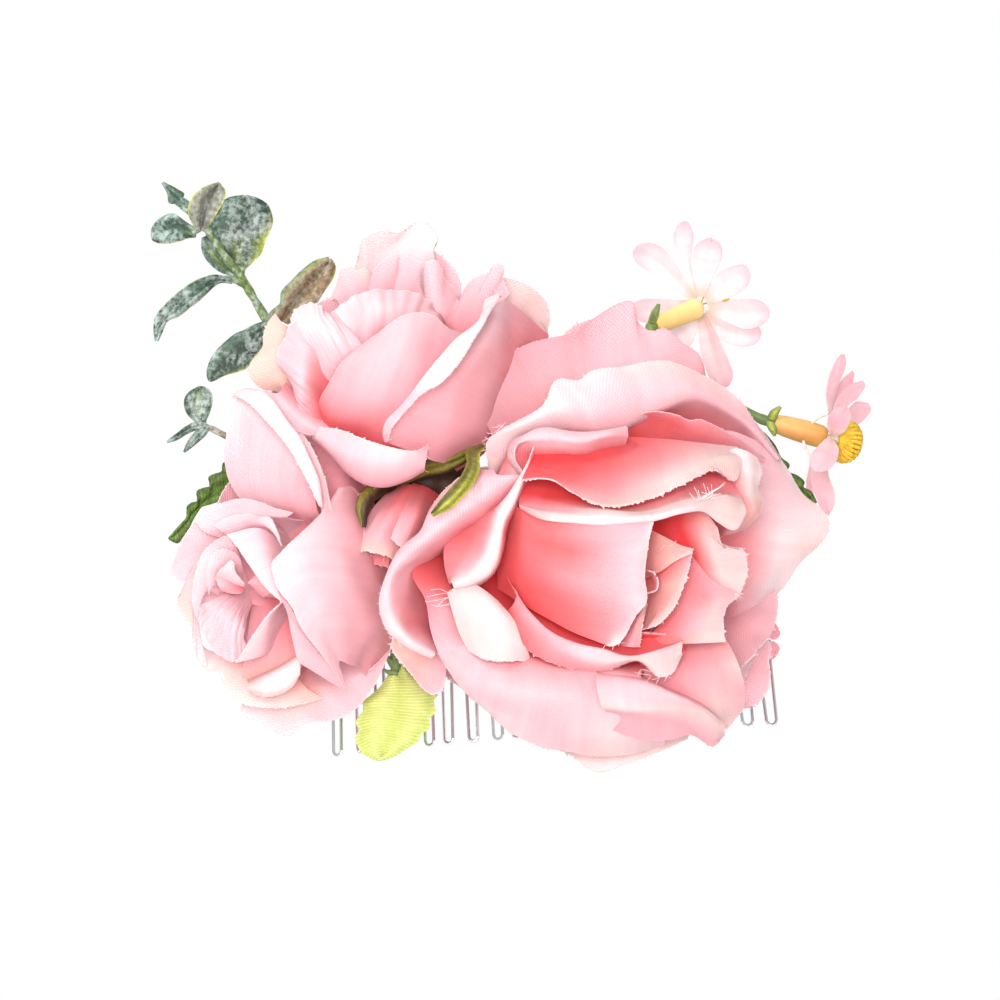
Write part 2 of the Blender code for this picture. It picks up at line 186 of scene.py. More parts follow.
def weave(nt, pitch_mm, amount=1.0):
    """A plain weave from the UV map, whose unit is a millimetre: 0..1."""
    uv = nt.nodes.new("ShaderNodeUVMap")
    uv.uv_map = "mm"
    split = nt.nodes.new("ShaderNodeSeparateXYZ")
    nt.links.new(uv.outputs[0], split.inputs[0])
    k = 2 * math.pi / pitch_mm
    sx = math_node(nt, "SINE", math_node(nt, "MULTIPLY", split.outputs[0], k))
    sy = math_node(nt, "SINE", math_node(nt, "MULTIPLY", split.outputs[1], k))
    return math_node(nt, "ADD", math_node(nt, "MULTIPLY", math_node(nt, "MULTIPLY", sx, sy), 0.5 * amount), 0.5)


def petal_cloth(name, pitch=0.44, bump=0.75, through=0.3, weave_depth=0.16):
    m, nt, shader = nodes_of(name)
    tint = nt.nodes.new("ShaderNodeVertexColor")
    tint.layer_name = "tint"
    threads = weave(nt, pitch)
    coord = nt.nodes.new("ShaderNodeTexCoord")
    cloud = nt.nodes.new("ShaderNodeTexNoise")
    cloud.inputs["Scale"].default_value = 160
    cloud.inputs["Detail"].default_value = 3
    nt.links.new(coord.outputs["Object"], cloud.inputs["Vector"])
    # faint pressed veins that run from the base to the rim
    uv = nt.nodes.new("ShaderNodeUVMap")
    uv.uv_map = "mm"
    stretch = nt.nodes.new("ShaderNodeMapping")
    stretch.inputs["Scale"].default_value = (0.5, 0.035, 1.0)
    nt.links.new(uv.outputs[0], stretch.inputs["Vector"])
    veins = nt.nodes.new("ShaderNodeTexNoise")
    veins.inputs["Scale"].default_value = 1.0
    veins.inputs["Detail"].default_value = 2.5
    nt.links.new(stretch.outputs[0], veins.inputs["Vector"])
    dye = mix_colour(nt, math_node(nt, "MULTIPLY", cloud.outputs["Fac"], 0.12), tint.outputs["Color"], (1.0, 0.94, 0.95), "MIX")
    shade = ramp(nt, threads, [(0.0, (1 - weave_depth * 0.8, 1 - weave_depth, 1 - weave_depth)), (1.0, (1.0, 1.0, 1.0))])
    lines = ramp(nt, veins.outputs["Fac"], [(0.35, (0.965, 0.93, 0.935)), (0.6, (1.0, 1.0, 1.0))])
    colour = mix_colour(nt, 1.0, mix_colour(nt, 1.0, dye, lines, "MULTIPLY"), shade, "MULTIPLY")
    nt.links.new(colour, shader.inputs["Base Color"])
    shader.inputs["Roughness"].default_value = 0.7
    shader.inputs["Specular IOR Level"].default_value = 0.22
    shader.inputs["Sheen Weight"].default_value = 0.12
    shader.inputs["Sheen Roughness"].default_value = 0.4
    folds = nt.nodes.new("ShaderNodeBump")
    folds.inputs["Strength"].default_value = 0.45
    folds.inputs["Distance"].default_value = 0.0005
    nt.links.new(veins.outputs["Fac"], folds.inputs["Height"])
    height = nt.nodes.new("ShaderNodeBump")
    height.inputs["Strength"].default_value = bump
    height.inputs["Distance"].default_value = 0.00012
    nt.links.new(threads, height.inputs["Height"])
    nt.links.new(folds.outputs[0], height.inputs["Normal"])
    nt.links.new(height.outputs[0], shader.inputs["Normal"])
    glow = nt.nodes.new("ShaderNodeBsdfTranslucent")
    nt.links.new(colour, glow.inputs["Color"])
    mix = nt.nodes.new("ShaderNodeMixShader")
    mix.inputs[0].default_value = through
    out = nt.nodes["Material Output"]
    nt.links.new(shader.outputs[0], mix.inputs[1])
    nt.links.new(glow.outputs[0], mix.inputs[2])
    nt.links.new(mix.outputs[0], out.inputs[0])
    return m


CLOTH = petal_cloth("petal_cloth")


# ------------------------------------------------------------------ shape tools
def along(points, n):
    """n + 1 points evenly along a smooth curve through the given ones (rows of any width)."""
    p = np.array(points, float)
    if len(p) == 2:
        t = np.linspace(0, 1, n + 1)[:, None]
        return p[0] * (1 - t) + p[1] * t
    step = np.maximum(np.linalg.norm(np.diff(p[:, :3], axis=0), axis=1), 1e-9) ** 0.5
    knots = np.concatenate([[0], np.cumsum(step)])
    before, after = 2 * p[0] - p[1], 2 * p[-1] - p[-2]
    q = np.vstack([before, p, after])
    k = np.concatenate([[knots[0] - step[0]], knots, [knots[-1] + step[-1]]])
    fine = []
    for i in range(1, len(q) - 2):
        t = np.linspace(k[i], k[i + 1], 13)[:, None]
        if i < len(q) - 3:
            t = t[:-1]
        a1 = (k[i] - t) / (k[i] - k[i - 1]) * q[i - 1] + (t - k[i - 1]) / (k[i] - k[i - 1]) * q[i]
        a2 = (k[i + 1] - t) / (k[i + 1] - k[i]) * q[i] + (t - k[i]) / (k[i + 1] - k[i]) * q[i + 1]
        a3 = (k[i + 2] - t) / (k[i + 2] - k[i + 1]) * q[i + 1] + (t - k[i + 1]) / (k[i + 2] - k[i + 1]) * q[i + 2]
        b1 = (k[i + 1] - t) / (k[i + 1] - k[i - 1]) * a1 + (t - k[i - 1]) / (k[i + 1] - k[i - 1]) * a2
        b2 = (k[i + 2] - t) / (k[i + 2] - k[i]) * a2 + (t - k[i]) / (k[i + 2] - k[i]) * a3
        fine.append((k[i + 1] - t) / (k[i + 1] - k[i]) * b1 + (t - k[i]) / (k[i + 1] - k[i]) * b2)
    fine = np.vstack(fine)
    run = np.concatenate([[0], np.cumsum(np.linalg.norm(np.diff(fine[:, :3], axis=0), axis=1))])
    s = np.linspace(0, run[-1], n + 1)
    return np.stack([np.interp(s, run, fine[:, j]) for j in range(fine.shape[1])], axis=1)


def surface(rows, nu, nv):
    """A grid of nv + 1 by nu + 1 points that passes through the rows."""
    lines = np.array([along(r, nu) for r in rows])
    gaps = np.maximum(np.linalg.norm(np.diff(lines, axis=0), axis=2).mean(axis=1), 1e-9) ** 0.5
    k = np.concatenate([[0], np.cumsum(gaps)])
    if len(lines) == 2:
        t = np.linspace(0, 1, nv + 1)[:, None, None]
        return lines[0] * (1 - t) + lines[1] * t, np.linspace(0, 1, nv + 1)
    # where each output row sits, evenly by distance
    dist = np.concatenate([[0], np.cumsum(gaps**2)])
    s = np.linspace(0, dist[-1], nv + 1)
    at = np.interp(s, dist, k)
    q = np.concatenate([[2 * lines[0] - lines[1]], lines, [2 * lines[-1] - lines[-2]]])
    kk = np.concatenate([[k[0] - gaps[0]], k, [k[-1] + gaps[-1]]])
    out = []
    for t in at:
        i = min(max(int(np.searchsorted(kk, t, side="right")) - 1, 1), len(q) - 3)
        a1 = (kk[i] - t) / (kk[i] - kk[i - 1]) * q[i - 1] + (t - kk[i - 1]) / (kk[i] - kk[i - 1]) * q[i]
        a2 = (kk[i + 1] - t) / (kk[i + 1] - kk[i]) * q[i] + (t - kk[i]) / (kk[i + 1] - kk[i]) * q[i + 1]
        a3 = (kk[i + 2] - t) / (kk[i + 2] - kk[i + 1]) * q[i + 1] + (t - kk[i + 1]) / (kk[i + 2] - kk[i + 1]) * q[i + 2]
        b1 = (kk[i + 1] - t) / (kk[i + 1] - kk[i - 1]) * a1 + (t - kk[i - 1]) / (kk[i + 1] - kk[i - 1]) * a2
        b2 = (kk[i + 2] - t) / (kk[i + 2] - kk[i]) * a2 + (t - kk[i]) / (kk[i + 2] - kk[i]) * a3
        out.append((kk[i + 1] - t) / (kk[i + 1] - kk[i]) * b1 + (t - kk[i]) / (kk[i + 1] - kk[i]) * b2)
    where = np.interp(at, k, np.arange(len(lines)))  # row number, as a fraction
    return np.array(out), where


def normals(grid):
    du = np.gradient(grid, axis=1)
    dv = np.gradient(grid, axis=0)
    n = np.cross(du, dv)
    return n / np.maximum(np.linalg.norm(n, axis=2, keepdims=True), 1e-12)


def tints(colours, where, nu):
    rows = []
    for c in colours:
        names = list(c) if isinstance(c, str) else c
        v = np.array([TINTS[x] for x in names])
        if len(v) == 1:
            v = np.vstack([v, v])
        s = np.linspace(0, len(v) - 1, nu + 1)
        rows.append(np.stack([np.interp(s, np.arange(len(v)), v[:, j]) for j in range(3)], axis=1))
    rows = np.array(rows)
    i = np.clip(where.astype(int), 0, len(rows) - 2)
    f = (where - i)[:, None, None]
    return rows[i] * (1 - f) + rows[i + 1] * f


PETALS = []


def grid_mesh(patches):
    """Vertices, faces, uvs in millimetres and tints of several grids in one mesh."""
    verts, faces, uvs, rgb = [], [], [], []
    for grid, colour, first_v in patches:
        nv, nu = grid.shape[0] - 1, grid.shape[1] - 1
        start = len(verts)
        verts += [tuple(p) for p in grid.reshape(-1, 3)]
        faces += [
            (start + j * (nu + 1) + i, start + j * (nu + 1) + i + 1, start + (j + 1) * (nu + 1) + i + 1, start + (j + 1) * (nu + 1) + i)
            for j in range(nv)
            for i in range(nu)
        ]
        u = np.concatenate([[0], np.cumsum(np.linalg.norm(np.diff(grid, axis=1), axis=2).mean(axis=0))]) * 1000
        v = np.concatenate([[0], np.cumsum(np.linalg.norm(np.diff(grid, axis=0), axis=2).mean(axis=1))]) * 1000 + first_v
        uvs.append(np.stack([np.tile(u, nv + 1), np.repeat(v, nu + 1)], axis=1))
        rgb.append(colour.reshape(-1, 3))
    return verts, faces, np.vstack(uvs), np.vstack(rgb)


def sharpen_rim(mesh):
    """Keep the cut edge from shading round."""
    seen = {}
    for poly in mesh.polygons:
        for key in poly.edge_keys:
            seen[key] = seen.get(key, 0) + 1
    for edge in mesh.edges:
        if seen.get(tuple(sorted(edge.vertices)), 0) == 1:
            edge.use_edge_sharp = True


def cloth_piece(name, grid, colour, material, thickness=0.22, replaces=(), body=BODY, declare=True, fringe=None):
    patches = [(grid, colour, 0.0)] + ([(*fringe, 0.0)] if fringe else [])
    verts, faces, coords, rgb = grid_mesh(patches)
    mesh = bpy.data.meshes.new(name)
    mesh.from_pydata(verts, [], faces)
    uv = mesh.uv_layers.new(name="mm")
    loops = np.zeros(len(mesh.loops), np.int32)
    mesh.loops.foreach_get("vertex_index", loops)
    uv.data.foreach_set("uv", coords[loops].reshape(-1).astype(np.float32))
    layer = mesh.color_attributes.new("tint", "FLOAT_COLOR", "POINT")
    rgba = np.ones((len(verts), 4), np.float32)
    rgba[:, :3] = rgb
    layer.data.foreach_set("color", rgba.reshape(-1))
    mesh.materials.append(material)
    mesh.shade_smooth()
    sharpen_rim(mesh)
    obj = bpy.data.objects.new(name, mesh)
    bpy.context.scene.collection.objects.link(obj)
    skin = obj.modifiers.new("cloth", "SOLIDIFY")
    skin.thickness = thickness * 0.001
    skin.offset = 0.0
    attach(obj, body)
    if replaces:
        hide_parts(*replaces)
    a = np.linalg.norm(np.cross(grid[1:, :-1] - grid[:-1, :-1], grid[:-1, 1:] - grid[:-1, :-1]), axis=2)
    b = np.linalg.norm(np.cross(grid[:-1, 1:] - grid[1:, 1:], grid[1:, :-1] - grid[1:, 1:]), axis=2)
    area = float((a + b).sum() / 2)
    PETALS.append((obj, area, declare))
    return obj


def frayed(grid, colour, fray, seed):
    """A strip of cut threads along the last row of a petal."""
    rim, out = grid[-1], grid[-1] - grid[-2]
    out = out / np.maximum(np.linalg.norm(out, axis=1, keepdims=True), 1e-9)
    run = np.concatenate([[0], np.cumsum(np.linalg.norm(np.diff(rim, axis=0), axis=1))])
    n = max(int(run[-1] / 0.00017), 8)
    s = np.linspace(0, run[-1], n + 1)
    inner = np.stack([np.interp(s, run, rim[:, j]) for j in range(3)], axis=1)
    way = np.stack([np.interp(s, run, out[:, j]) for j in range(3)], axis=1)
    rgb = np.stack([np.interp(s, run, colour[-1][:, j]) for j in range(3)], axis=1)
    rng = np.random.default_rng(seed + 700)
    reach = rng.uniform(0.04, 1.0, n + 1) * fray * 1.5
    long_ones = rng.random(n + 1) < 0.05 * min(fray / 0.15, 2.0)
    reach = np.where(long_ones, reach + rng.uniform(0.15, 0.6, n + 1) * fray / 0.16, reach)
    slide = np.gradient(inner, axis=0) * rng.uniform(-0.8, 0.8, (n + 1, 1))
    outer = inner + way * reach[:, None] * 0.001 + slide
    back = inner + way * 0.00001
    pale = rgb * 0.4 + np.array(TINTS["W"]) * 0.6
    return np.stack([back, outer]), np.stack([rgb, pale])


def petal(name, sheet, rows, colours, slot="petal_pink", nu=60, nv=32, wrinkle=0.25, fray=0.16, crease=0.0, seed=0, material=None, replaces=(), thickness=0.22, edge="W", edge_width=1, body=BODY):
    """A cloth petal through rows of sheet points, from its base to its rim."""
    world = [[tuple(sheet(*p)) for p in row] for row in rows]
    grid, where = surface(world, nu, nv)
    colour = tints(colours, where, nu)
    n = normals(grid)
    v = np.linspace(0, 1, nv + 1)
    if wrinkle or crease:
        for j in range(nv + 1):
            for i in range(nu + 1):
                p = Vector(grid[j, i])
                soft = noise.noise(p * 190 + Vector((seed * 3.1, 0, 0)))
                fine = noise.noise(Vector((i / nu * 16 + seed, v[j] * 3.0, seed * 1.7)))
                grid[j, i] += n[j, i] * 0.001 * (wrinkle * soft + crease * fine * v[j])
    # a narrow last row, so that the rim's pale line stays thin
    out = grid[-1] - grid[-2]
    length = np.maximum(np.linalg.norm(out, axis=1, keepdims=True), 1e-9)
    near = grid[-1] - out * np.minimum(0.5, 0.00028 * edge_width / length)
    grid = np.concatenate([grid[:-1], near[None], grid[-1:]])
    colour = np.concatenate([colour, colour[-1:]])
    if edge:
        colour[-1] = colour[-1] * 0.25 + np.array(TINTS[edge]) * 0.75
    fringe = frayed(grid, colour, fray, seed) if fray else None
    return cloth_piece(name, grid, colour, material or CLOTH, thickness, replaces, body, True, fringe)


# ------------------------------------------------------------------ the large rose
rose = Sheet("rose_large_calyx", 574, 509)
LARGE = [
    # name, rows (x, y, d) from base to rim, tints of each row (coral dye at the base to a pale rim, with painted shade
    # in the deep crevices)
    ("back", [
        [(575, 520, 12), (600, 520, 11), (630, 515, 11)],
        [(505, 470, 22), (560, 440, 17), (620, 420, 14), (680, 420, 12), (720, 440, 11)],
        [(490, 430, 24), (520, 392, 20), (580, 372, 15), (650, 362, 13), (712, 395, 11)],
        [(487, 425, 24), (489, 395, 22.5), (503, 362, 19.5), (522, 346, 17.5), (548, 338, 16), (572, 333, 15), (592, 319, 13), (620, 303, 11), (633, 301, 11), (638, 322, 11), (652, 331, 11), (665, 328, 11), (682, 342, 11), (700, 355, 11), (705, 374, 11)],
    ], ["R", "R", "KPPK", "PKKPk"], dict(edge="K", fray=0.08)),
    ("top", [
        [(560, 530, 17), (620, 500, 15), (680, 500, 14)],
        [(505, 475, 27), (560, 442, 25), (620, 434, 21), (680, 422, 18), (725, 430, 17), (775, 465, 15)],
        [(494, 477, 31), (503, 455, 32), (515, 437, 32.5), (560, 428, 31), (607, 428, 30), (648, 410, 28), (690, 396, 26), (742, 420, 21), (778, 458, 17)],
        [(491, 476, 32), (492, 455, 33), (500, 436, 33.6), (545, 415, 33.5), (600, 395, 31), (650, 382, 28.5), (700, 388, 25.5), (745, 415, 20.5), (779, 458, 16.5)],
        [(490, 477, 31), (487, 458, 33), (487, 440, 34), (505, 427, 33.5), (520, 420, 33.2), (540, 408, 33), (547, 398, 32.5), (552, 383, 31), (560, 378, 30), (580, 380, 29), (590, 372, 28), (620, 367, 27), (660, 361, 25), (680, 366, 24), (700, 374, 23), (720, 384, 22), (740, 400, 21), (757, 425, 19), (780, 458, 16)],
    ], ["O", "RRRRP", "WWPPPPPP", "WWWPPPPP", "WWWWCGGG"], dict(nu=90, nv=40, wrinkle=0.35)),
    ("top_inner", [
        [(600, 480, 19), (660, 475, 19), (720, 475, 18)],
        [(618, 446, 23), (680, 447, 22), (740, 455, 19)],
        [(618, 432, 25.5), (648, 418, 26.5), (690, 428, 25), (735, 442, 22.5), (764, 462, 18.5)],
        [(616, 428, 27), (648, 411, 28.4), (675, 414, 27), (690, 420, 26), (700, 419, 26), (733, 435, 23.5), (765, 458, 19)],
    ], ["X", "XORK", "OORK", "RRKP"], dict(edge="K", fray=0.1)),
    ("curl", [
        [(560, 475, 31), (590, 468, 31), (620, 455, 30)],
        [(524, 474, 36), (516, 462, 37), (512, 450, 37.5), (522, 444, 38), (548, 443, 38.5), (580, 446, 38.5), (600, 441, 37.5), (626, 438, 35)],
        [(522, 472, 37.5), (514, 457, 38.5), (517, 443, 39.5), (548, 436, 40.2), (580, 439, 40.2), (607, 434, 39), (627, 434, 35.5)],
        [(519, 472, 36.5), (511, 456, 37.5), (516, 440, 38.5), (530, 431, 39), (545, 428, 39), (580, 432, 38.5), (607, 429, 37.5), (626, 426, 35)],
        [(514, 470, 34), (508, 456, 35), (512, 440, 35), (530, 432, 35), (545, 430, 35), (580, 434, 34), (607, 432, 33), (622, 430, 32)],
    ], ["X", "RRPPKK", "PPPPPK", "WPPPPP", "KKKKK"], dict(nu=70, wrinkle=0.3, edge="K")),
    ("over", [
        [(530, 440, 33), (580, 437, 32), (620, 436, 31), (680, 440, 30), (737, 446, 28)],
        [(528, 460, 37), (580, 465, 39), (640, 462, 39), (700, 455, 36), (739, 452, 31)],
        [(524, 472, 39), (560, 480, 42), (610, 490, 43), (660, 480, 42), (712, 462, 37.5), (740, 458, 32.5)],
        [(521, 479, 39.5), (536, 477, 41), (550, 479, 42), (565, 487, 42.5), (580, 496, 43), (600, 504, 43.5), (615, 505, 43.6), (650, 497, 43), (665, 490, 42.5), (680, 483, 42), (700, 474, 40), (712, 468, 38.5), (733, 479, 35), (741, 462, 32.5)],
    ], ["XXXRG", "XXORGG", "XORGCC", "XREGGC"], dict(nu=80, wrinkle=0.2, fray=0.22, edge="C")),
    ("roll", [
        [(530, 470, 33), (600, 478, 34.5), (680, 470, 34), (728, 478, 33)],
        [(520, 492, 36.5), (560, 497, 38.5), (620, 505, 40), (680, 492, 39), (738, 492, 35)],
        [(518, 504, 38.5), (545, 508, 41), (580, 509, 42.5), (610, 509, 43.3), (640, 512, 43.3), (655, 510, 43), (690, 499, 41.6), (728, 496, 38.5), (742, 500, 36)],
        [(519, 505, 39.5), (542, 512, 43), (575, 515, 44.8), (605, 516, 45.8), (650, 515, 45.6), (690, 506, 44), (724, 508, 40.5), (744, 505, 36.5)],
        [(520, 507, 39.5), (540, 517, 43.4), (570, 521, 45), (600, 523, 45.8), (652, 519, 45.5), (680, 512, 44.5), (700, 510, 43.5), (718, 521, 41), (735, 527, 38.5), (745, 512, 37)],
        [(522, 507, 37.5), (542, 515, 41), (572, 518, 42.6), (602, 519, 43), (652, 515, 43), (682, 509, 42), (702, 507, 41), (720, 517, 39), (733, 522, 37), (741, 512, 36)],
    ], ["XXOO", "XXORR", "RKCCCGG", "KCWWWCC", "OCWWWCW", "RKKKKK"], dict(nu=84, nv=44, wrinkle=0.22, edge="")),
    ("centre", [
        [(508, 497, 33), (502, 530, 31), (497, 560, 30), (498, 588, 30)],
        [(524, 510, 39), (522, 545, 38), (522, 580, 38), (530, 608, 38.5)],
        [(570, 521, 44.2), (570, 555, 44.6), (572, 595, 44.6), (575, 632, 43)],
        [(615, 523, 45.6), (615, 560, 46.6), (612, 600, 46.4), (603, 643, 44.4)],
        [(645, 519, 45.2), (638, 548, 46.8), (636, 575, 47), (634, 602, 46.8), (622, 628, 46), (608, 643, 45)],
        [(653, 518, 44.8), (648, 535, 46), (645, 555, 46.5), (643, 575, 46.6), (645, 600, 46.6), (636, 612, 46.6), (628, 626, 46), (621, 638, 45.5), (613, 644, 45), (605, 644, 44.5)],
    ], ["XXXX", "OOXX", "ROROO", "KKKRR", "KPPPKC", "WCPPPWW"], dict(nu=80, nv=60, wrinkle=0.25, fray=0.1)),
    ("bud_1", [
        [(648, 528, 39), (644, 552, 39), (643, 578, 39)],
        [(664, 536, 42), (663, 552, 42.5), (661, 569, 43)],
        [(679, 544, 42.6), (678, 552, 43), (676, 559, 43.2)],
        [(691, 548, 42), (691, 550, 42.3), (690, 553, 42.5)],
    ], ["EEE", "EEE", "EEe", "W"], dict(nu=24, nv=24, wrinkle=0.1)),
    ("bud_2", [
        [(643, 576, 37), (643, 600, 37.5), (638, 630, 38)],
        [(667, 562, 41.5), (665, 590, 42.2), (650, 624, 41.5)],
        [(682, 556, 42), (677, 585, 43), (667, 605, 43), (645, 627, 41.5)],
        [(691, 552, 41.5), (685, 575, 42.6), (673, 605, 42.8), (655, 624, 42), (640, 629, 41)],
    ], ["OEEE", "OEEE", "REEE", "KCCC"], dict(nu=36, nv=28, wrinkle=0.15)),
    ("bud_curl", [
        [(645, 570, 41), (650, 573, 41.5), (653, 582, 42), (652, 588, 42), (644, 590, 41.5)],
        [(645, 569, 42.4), (653, 572, 43), (657, 581, 43.4), (655, 589, 43.4), (646, 592, 42.8)],
    ], ["OOOO", "KPPK"], dict(nu=24, nv=6, wrinkle=0.1)),
    ("bud_3", [
        [(641, 600, 41), (630, 618, 41), (620, 645, 41)],
        [(645, 602, 42.5), (636, 622, 42.6), (630, 646, 42.2)],
        [(646, 602, 42), (641, 622, 42.2), (638, 646, 41.6)],
    ], ["EEK", "EKK", "EEK"], dict(nu=24, nv=10, wrinkle=0.15)),
    ("bud_wrap", [
        [(590, 560, 22), (600, 580, 22), (610, 600, 22)],
        [(600, 640, 34), (640, 650, 34), (685, 655, 34)],
        [(598, 636, 41), (640, 632, 40), (680, 636, 38.6)],
    ], ["X", "X", "OXO"], dict(nu=30, nv=20)),
    ("right_heart", [
        [(655, 512, 34), (650, 530, 33), (668, 552, 34), (690, 560, 35)],
        [(682, 508, 38), (680, 525, 36.5), (688, 545, 36.5), (705, 578, 38)],
        [(703, 510, 39), (706, 535, 38.5), (715, 558, 38.6), (725, 590, 38)],
        [(716, 526, 38.8), (722, 545, 38.4), (742, 549, 36.6), (745, 572, 36.4), (738, 595, 36.4)],
    ], ["XXXX", "XXXR", "MGGG", "CGGW"], dict(nu=48, nv=36, wrinkle=0.2, fray=0.22)),
    ("right_mid", [
        [(690, 553, 37), (682, 582, 37.4), (671, 608, 37.6), (655, 628, 38), (640, 645, 38.4)],
        [(712, 580, 38.8), (702, 600, 39.4), (690, 622, 39.8), (675, 643, 39.8)],
        [(728, 588, 38), (714, 606, 38.8), (708, 624, 39.2), (704, 642, 39)],
        [(739, 593, 36.6), (726, 605, 37.6), (722, 622, 38), (724, 641, 37.8)],
    ], ["RRROO", "KRKKM", "KGGG", "PPGC"], dict(nu=44, nv=32, wrinkle=0.25, fray=0.18)),
    ("right_low", [
        [(620, 640, 33), (660, 636, 34), (724, 636, 34)],
        [(640, 664, 38), (685, 668, 38.2), (738, 664, 34)],
        [(650, 690, 36), (700, 704, 36), (744, 690, 31)],
        [(680, 702, 33), (702, 712, 33), (722, 730, 30), (742, 708, 29)],
    ], ["ORR", "RRKG", "KKGK", "PGGP"], dict(nu=48, nv=36, wrinkle=0.3)),
    # the deep reds of its last row paint the dark red shadow line along its lower edge
    ("low_rim", [
        [(500, 560, 30), (540, 600, 33), (600, 628, 38), (650, 630, 38), (690, 636, 37)],
        [(510, 584, 35.5), (526, 612, 38), (550, 631, 40.5), (580, 643, 42), (605, 648, 43), (640, 655, 42), (682, 640, 40)],
        [(516, 592, 38.5), (530, 614, 41), (552, 632, 43.4), (578, 644, 44.6), (604, 650, 45), (622, 655, 44.6), (655, 650, 43.5), (681, 642, 41)],
        [(514, 600, 38.8), (530, 625, 41.4), (555, 645, 43.6), (580, 655, 44.8), (606, 660, 45), (635, 658, 44.5), (660, 660, 43), (680, 652, 41)],
        [(508, 610, 36), (528, 648, 38.6), (560, 664, 41), (600, 669, 42.4), (637, 660, 42.8), (658, 675, 42.2), (671, 671, 41.4), (681, 652, 40.4)],
    ], ["XXXXO", "OXXXOR", "RKKPPPP", "RRKPCCC", "XORRKWW"], dict(nu=80, nv=40, wrinkle=0.25, fray=0.2, edge="")),
    ("bottom_left", [
        [(470, 610, 27), (520, 640, 32), (560, 655, 36), (600, 660, 38), (650, 660, 36)],
        [(448, 640, 31.5), (500, 662, 35.5), (527, 662, 38), (562, 668, 40.6), (600, 672, 41.6), (640, 679, 41)],
        [(443, 648, 31.7), (500, 685, 36.4), (560, 694, 39.6), (610, 702, 39.4), (660, 712, 36.5)],
        [(440, 652, 31.5), (478, 692, 33.6), (540, 722, 35.2), (600, 733, 34.6), (662, 732, 32.5)],
        [(437, 652, 30.6), (455, 680, 30.4), (470, 695, 30.4), (485, 708, 30.4), (497, 720, 30), (510, 732, 30), (525, 740, 29.6), (540, 745, 29.2), (560, 748, 28.8), (580, 753, 28.4), (620, 755, 27.6), (665, 743, 27)],
    ], ["KXXXX", "PPRRKK", "PPPPPP", "WPPPWP", "WWWPCP"], dict(nu=90, nv=44, wrinkle=0.45, edge="C")),
    ("bottom_right", [
        [(600, 668, 39.8), (640, 676, 39.6), (670, 689, 38.6), (700, 703, 36.4), (722, 720, 33.6)],
        [(595, 674, 42.2), (640, 682, 42), (672, 693, 40.6), (701, 706, 38), (723, 722, 34.6)],
        [(596, 690, 42.8), (640, 697, 42), (680, 702, 40), (704, 709, 38), (724, 727, 34.4)],
        [(600, 704, 41.8), (640, 707, 41), (680, 707, 39), (704, 711, 37.4), (724, 732, 33.8)],
        [(606, 712, 38), (642, 717, 37.4), (682, 722, 36), (706, 731, 34.6), (724, 734, 32.6)],
        [(612, 728, 35.5), (640, 738, 34.6), (672, 737, 33.6), (690, 733, 33.2), (712, 745, 31.5), (722, 736, 31)],
    ], ["ORRRG", "KPPGG", "PPPPG", "CWCGC", "KKKKG", "KKKKK"], dict(nu=64, nv=44, wrinkle=0.22, edge="K")),
    ("bottom_back", [
        [(560, 640, 15), (600, 640, 15), (650, 630, 15)],
        [(540, 728, 24), (610, 735, 25), (690, 718, 26)],
        [(540, 744, 25.5), (560, 749, 25), (577, 758, 24.4), (586, 766, 24), (600, 771, 24), (630, 761, 24.4), (652, 753, 25), (688, 737, 26)],
    ], ["O", "PEEP", "CCWCC"], dict(nu=60, nv=24, wrinkle=0.3, edge="C")),
    ("left_outer", [
        [(585, 500, 15), (580, 525, 14), (585, 550, 15)],
        [(530, 490, 24), (480, 530, 21), (445, 565, 21), (445, 610, 21), (480, 650, 22)],
        [(523, 478, 35.5), (500, 502, 34.5), (480, 517, 33.8), (455, 532, 33), (430, 550, 32.6), (408, 567, 32.6), (402, 590, 32.6), (408, 620, 32), (436, 650, 31)],
        [(513, 474, 38), (482, 494, 38), (456, 512, 37.4), (427, 537, 37), (402, 557, 37), (389, 580, 36.6), (389, 612, 35.6), (406, 638, 34.6), (434, 654, 32.6)],
        [(497, 474, 37), (470, 482, 36.6), (448, 496, 35.6), (431, 514, 35), (421, 531, 35), (400, 549, 35), (386, 571, 35), (380, 600, 34.4), (385, 626, 33.6), (400, 642, 32.6), (430, 657, 31.6)],
        [(494, 470, 33.6), (470, 472, 33), (447, 487, 32), (431, 507, 31.4), (421, 528, 31), (402, 549, 31), (388, 571, 31.4), (381, 600, 31), (386, 625, 30.6), (400, 640, 30.2), (430, 655, 30)],
    ], ["X", "RRORR", "KRRKKRK", "PPPPPWW", "PPPPWWW", "KKKPWWC"], dict(nu=90, nv=60, wrinkle=0.35, fray=0.3, edge="W")),
    # the D along its top row is a painted shadow, the dark red hole above the strip
    ("left_strip", [
        [(434, 553, 27), (440, 556, 26.5), (449, 572, 27)],
        [(412, 572, 31.4), (428, 580, 30.6), (452, 590, 30)],
        [(425, 600, 31.8), (442, 606, 32), (462, 612, 31)],
        [(430, 628, 32), (448, 632, 32.4), (468, 634, 31.4)],
        [(437, 650, 31.6), (458, 654, 32.4), (486, 655, 31.6)],
        [(446, 664, 31), (474, 676, 31.4), (510, 684, 31)],
    ], ["DDD", "OOO", "RKR", "KKK", "PPP", "P"], dict(nu=24, nv=40, wrinkle=0.25, edge="P")),
    ("left_flap", [
        [(447, 592, 33), (458, 585, 34.4), (472, 583, 35), (485, 590, 35.6), (497, 600, 36)],
        [(450, 604, 34.4), (475, 610, 37.2), (498, 612, 38), (513, 620, 37.6)],
        [(458, 630, 34.8), (485, 635, 38), (508, 638, 38.6), (525, 643, 37.8)],
        [(468, 649, 34.2), (485, 658, 36.6), (505, 660, 37.6), (520, 659, 37.6), (530, 663, 37)],
    ], ["WCWC", "CWWC", "CCWC", "WWCK"], dict(nu=40, nv=36, wrinkle=0.2, edge="C")),
    ("left_inner", [
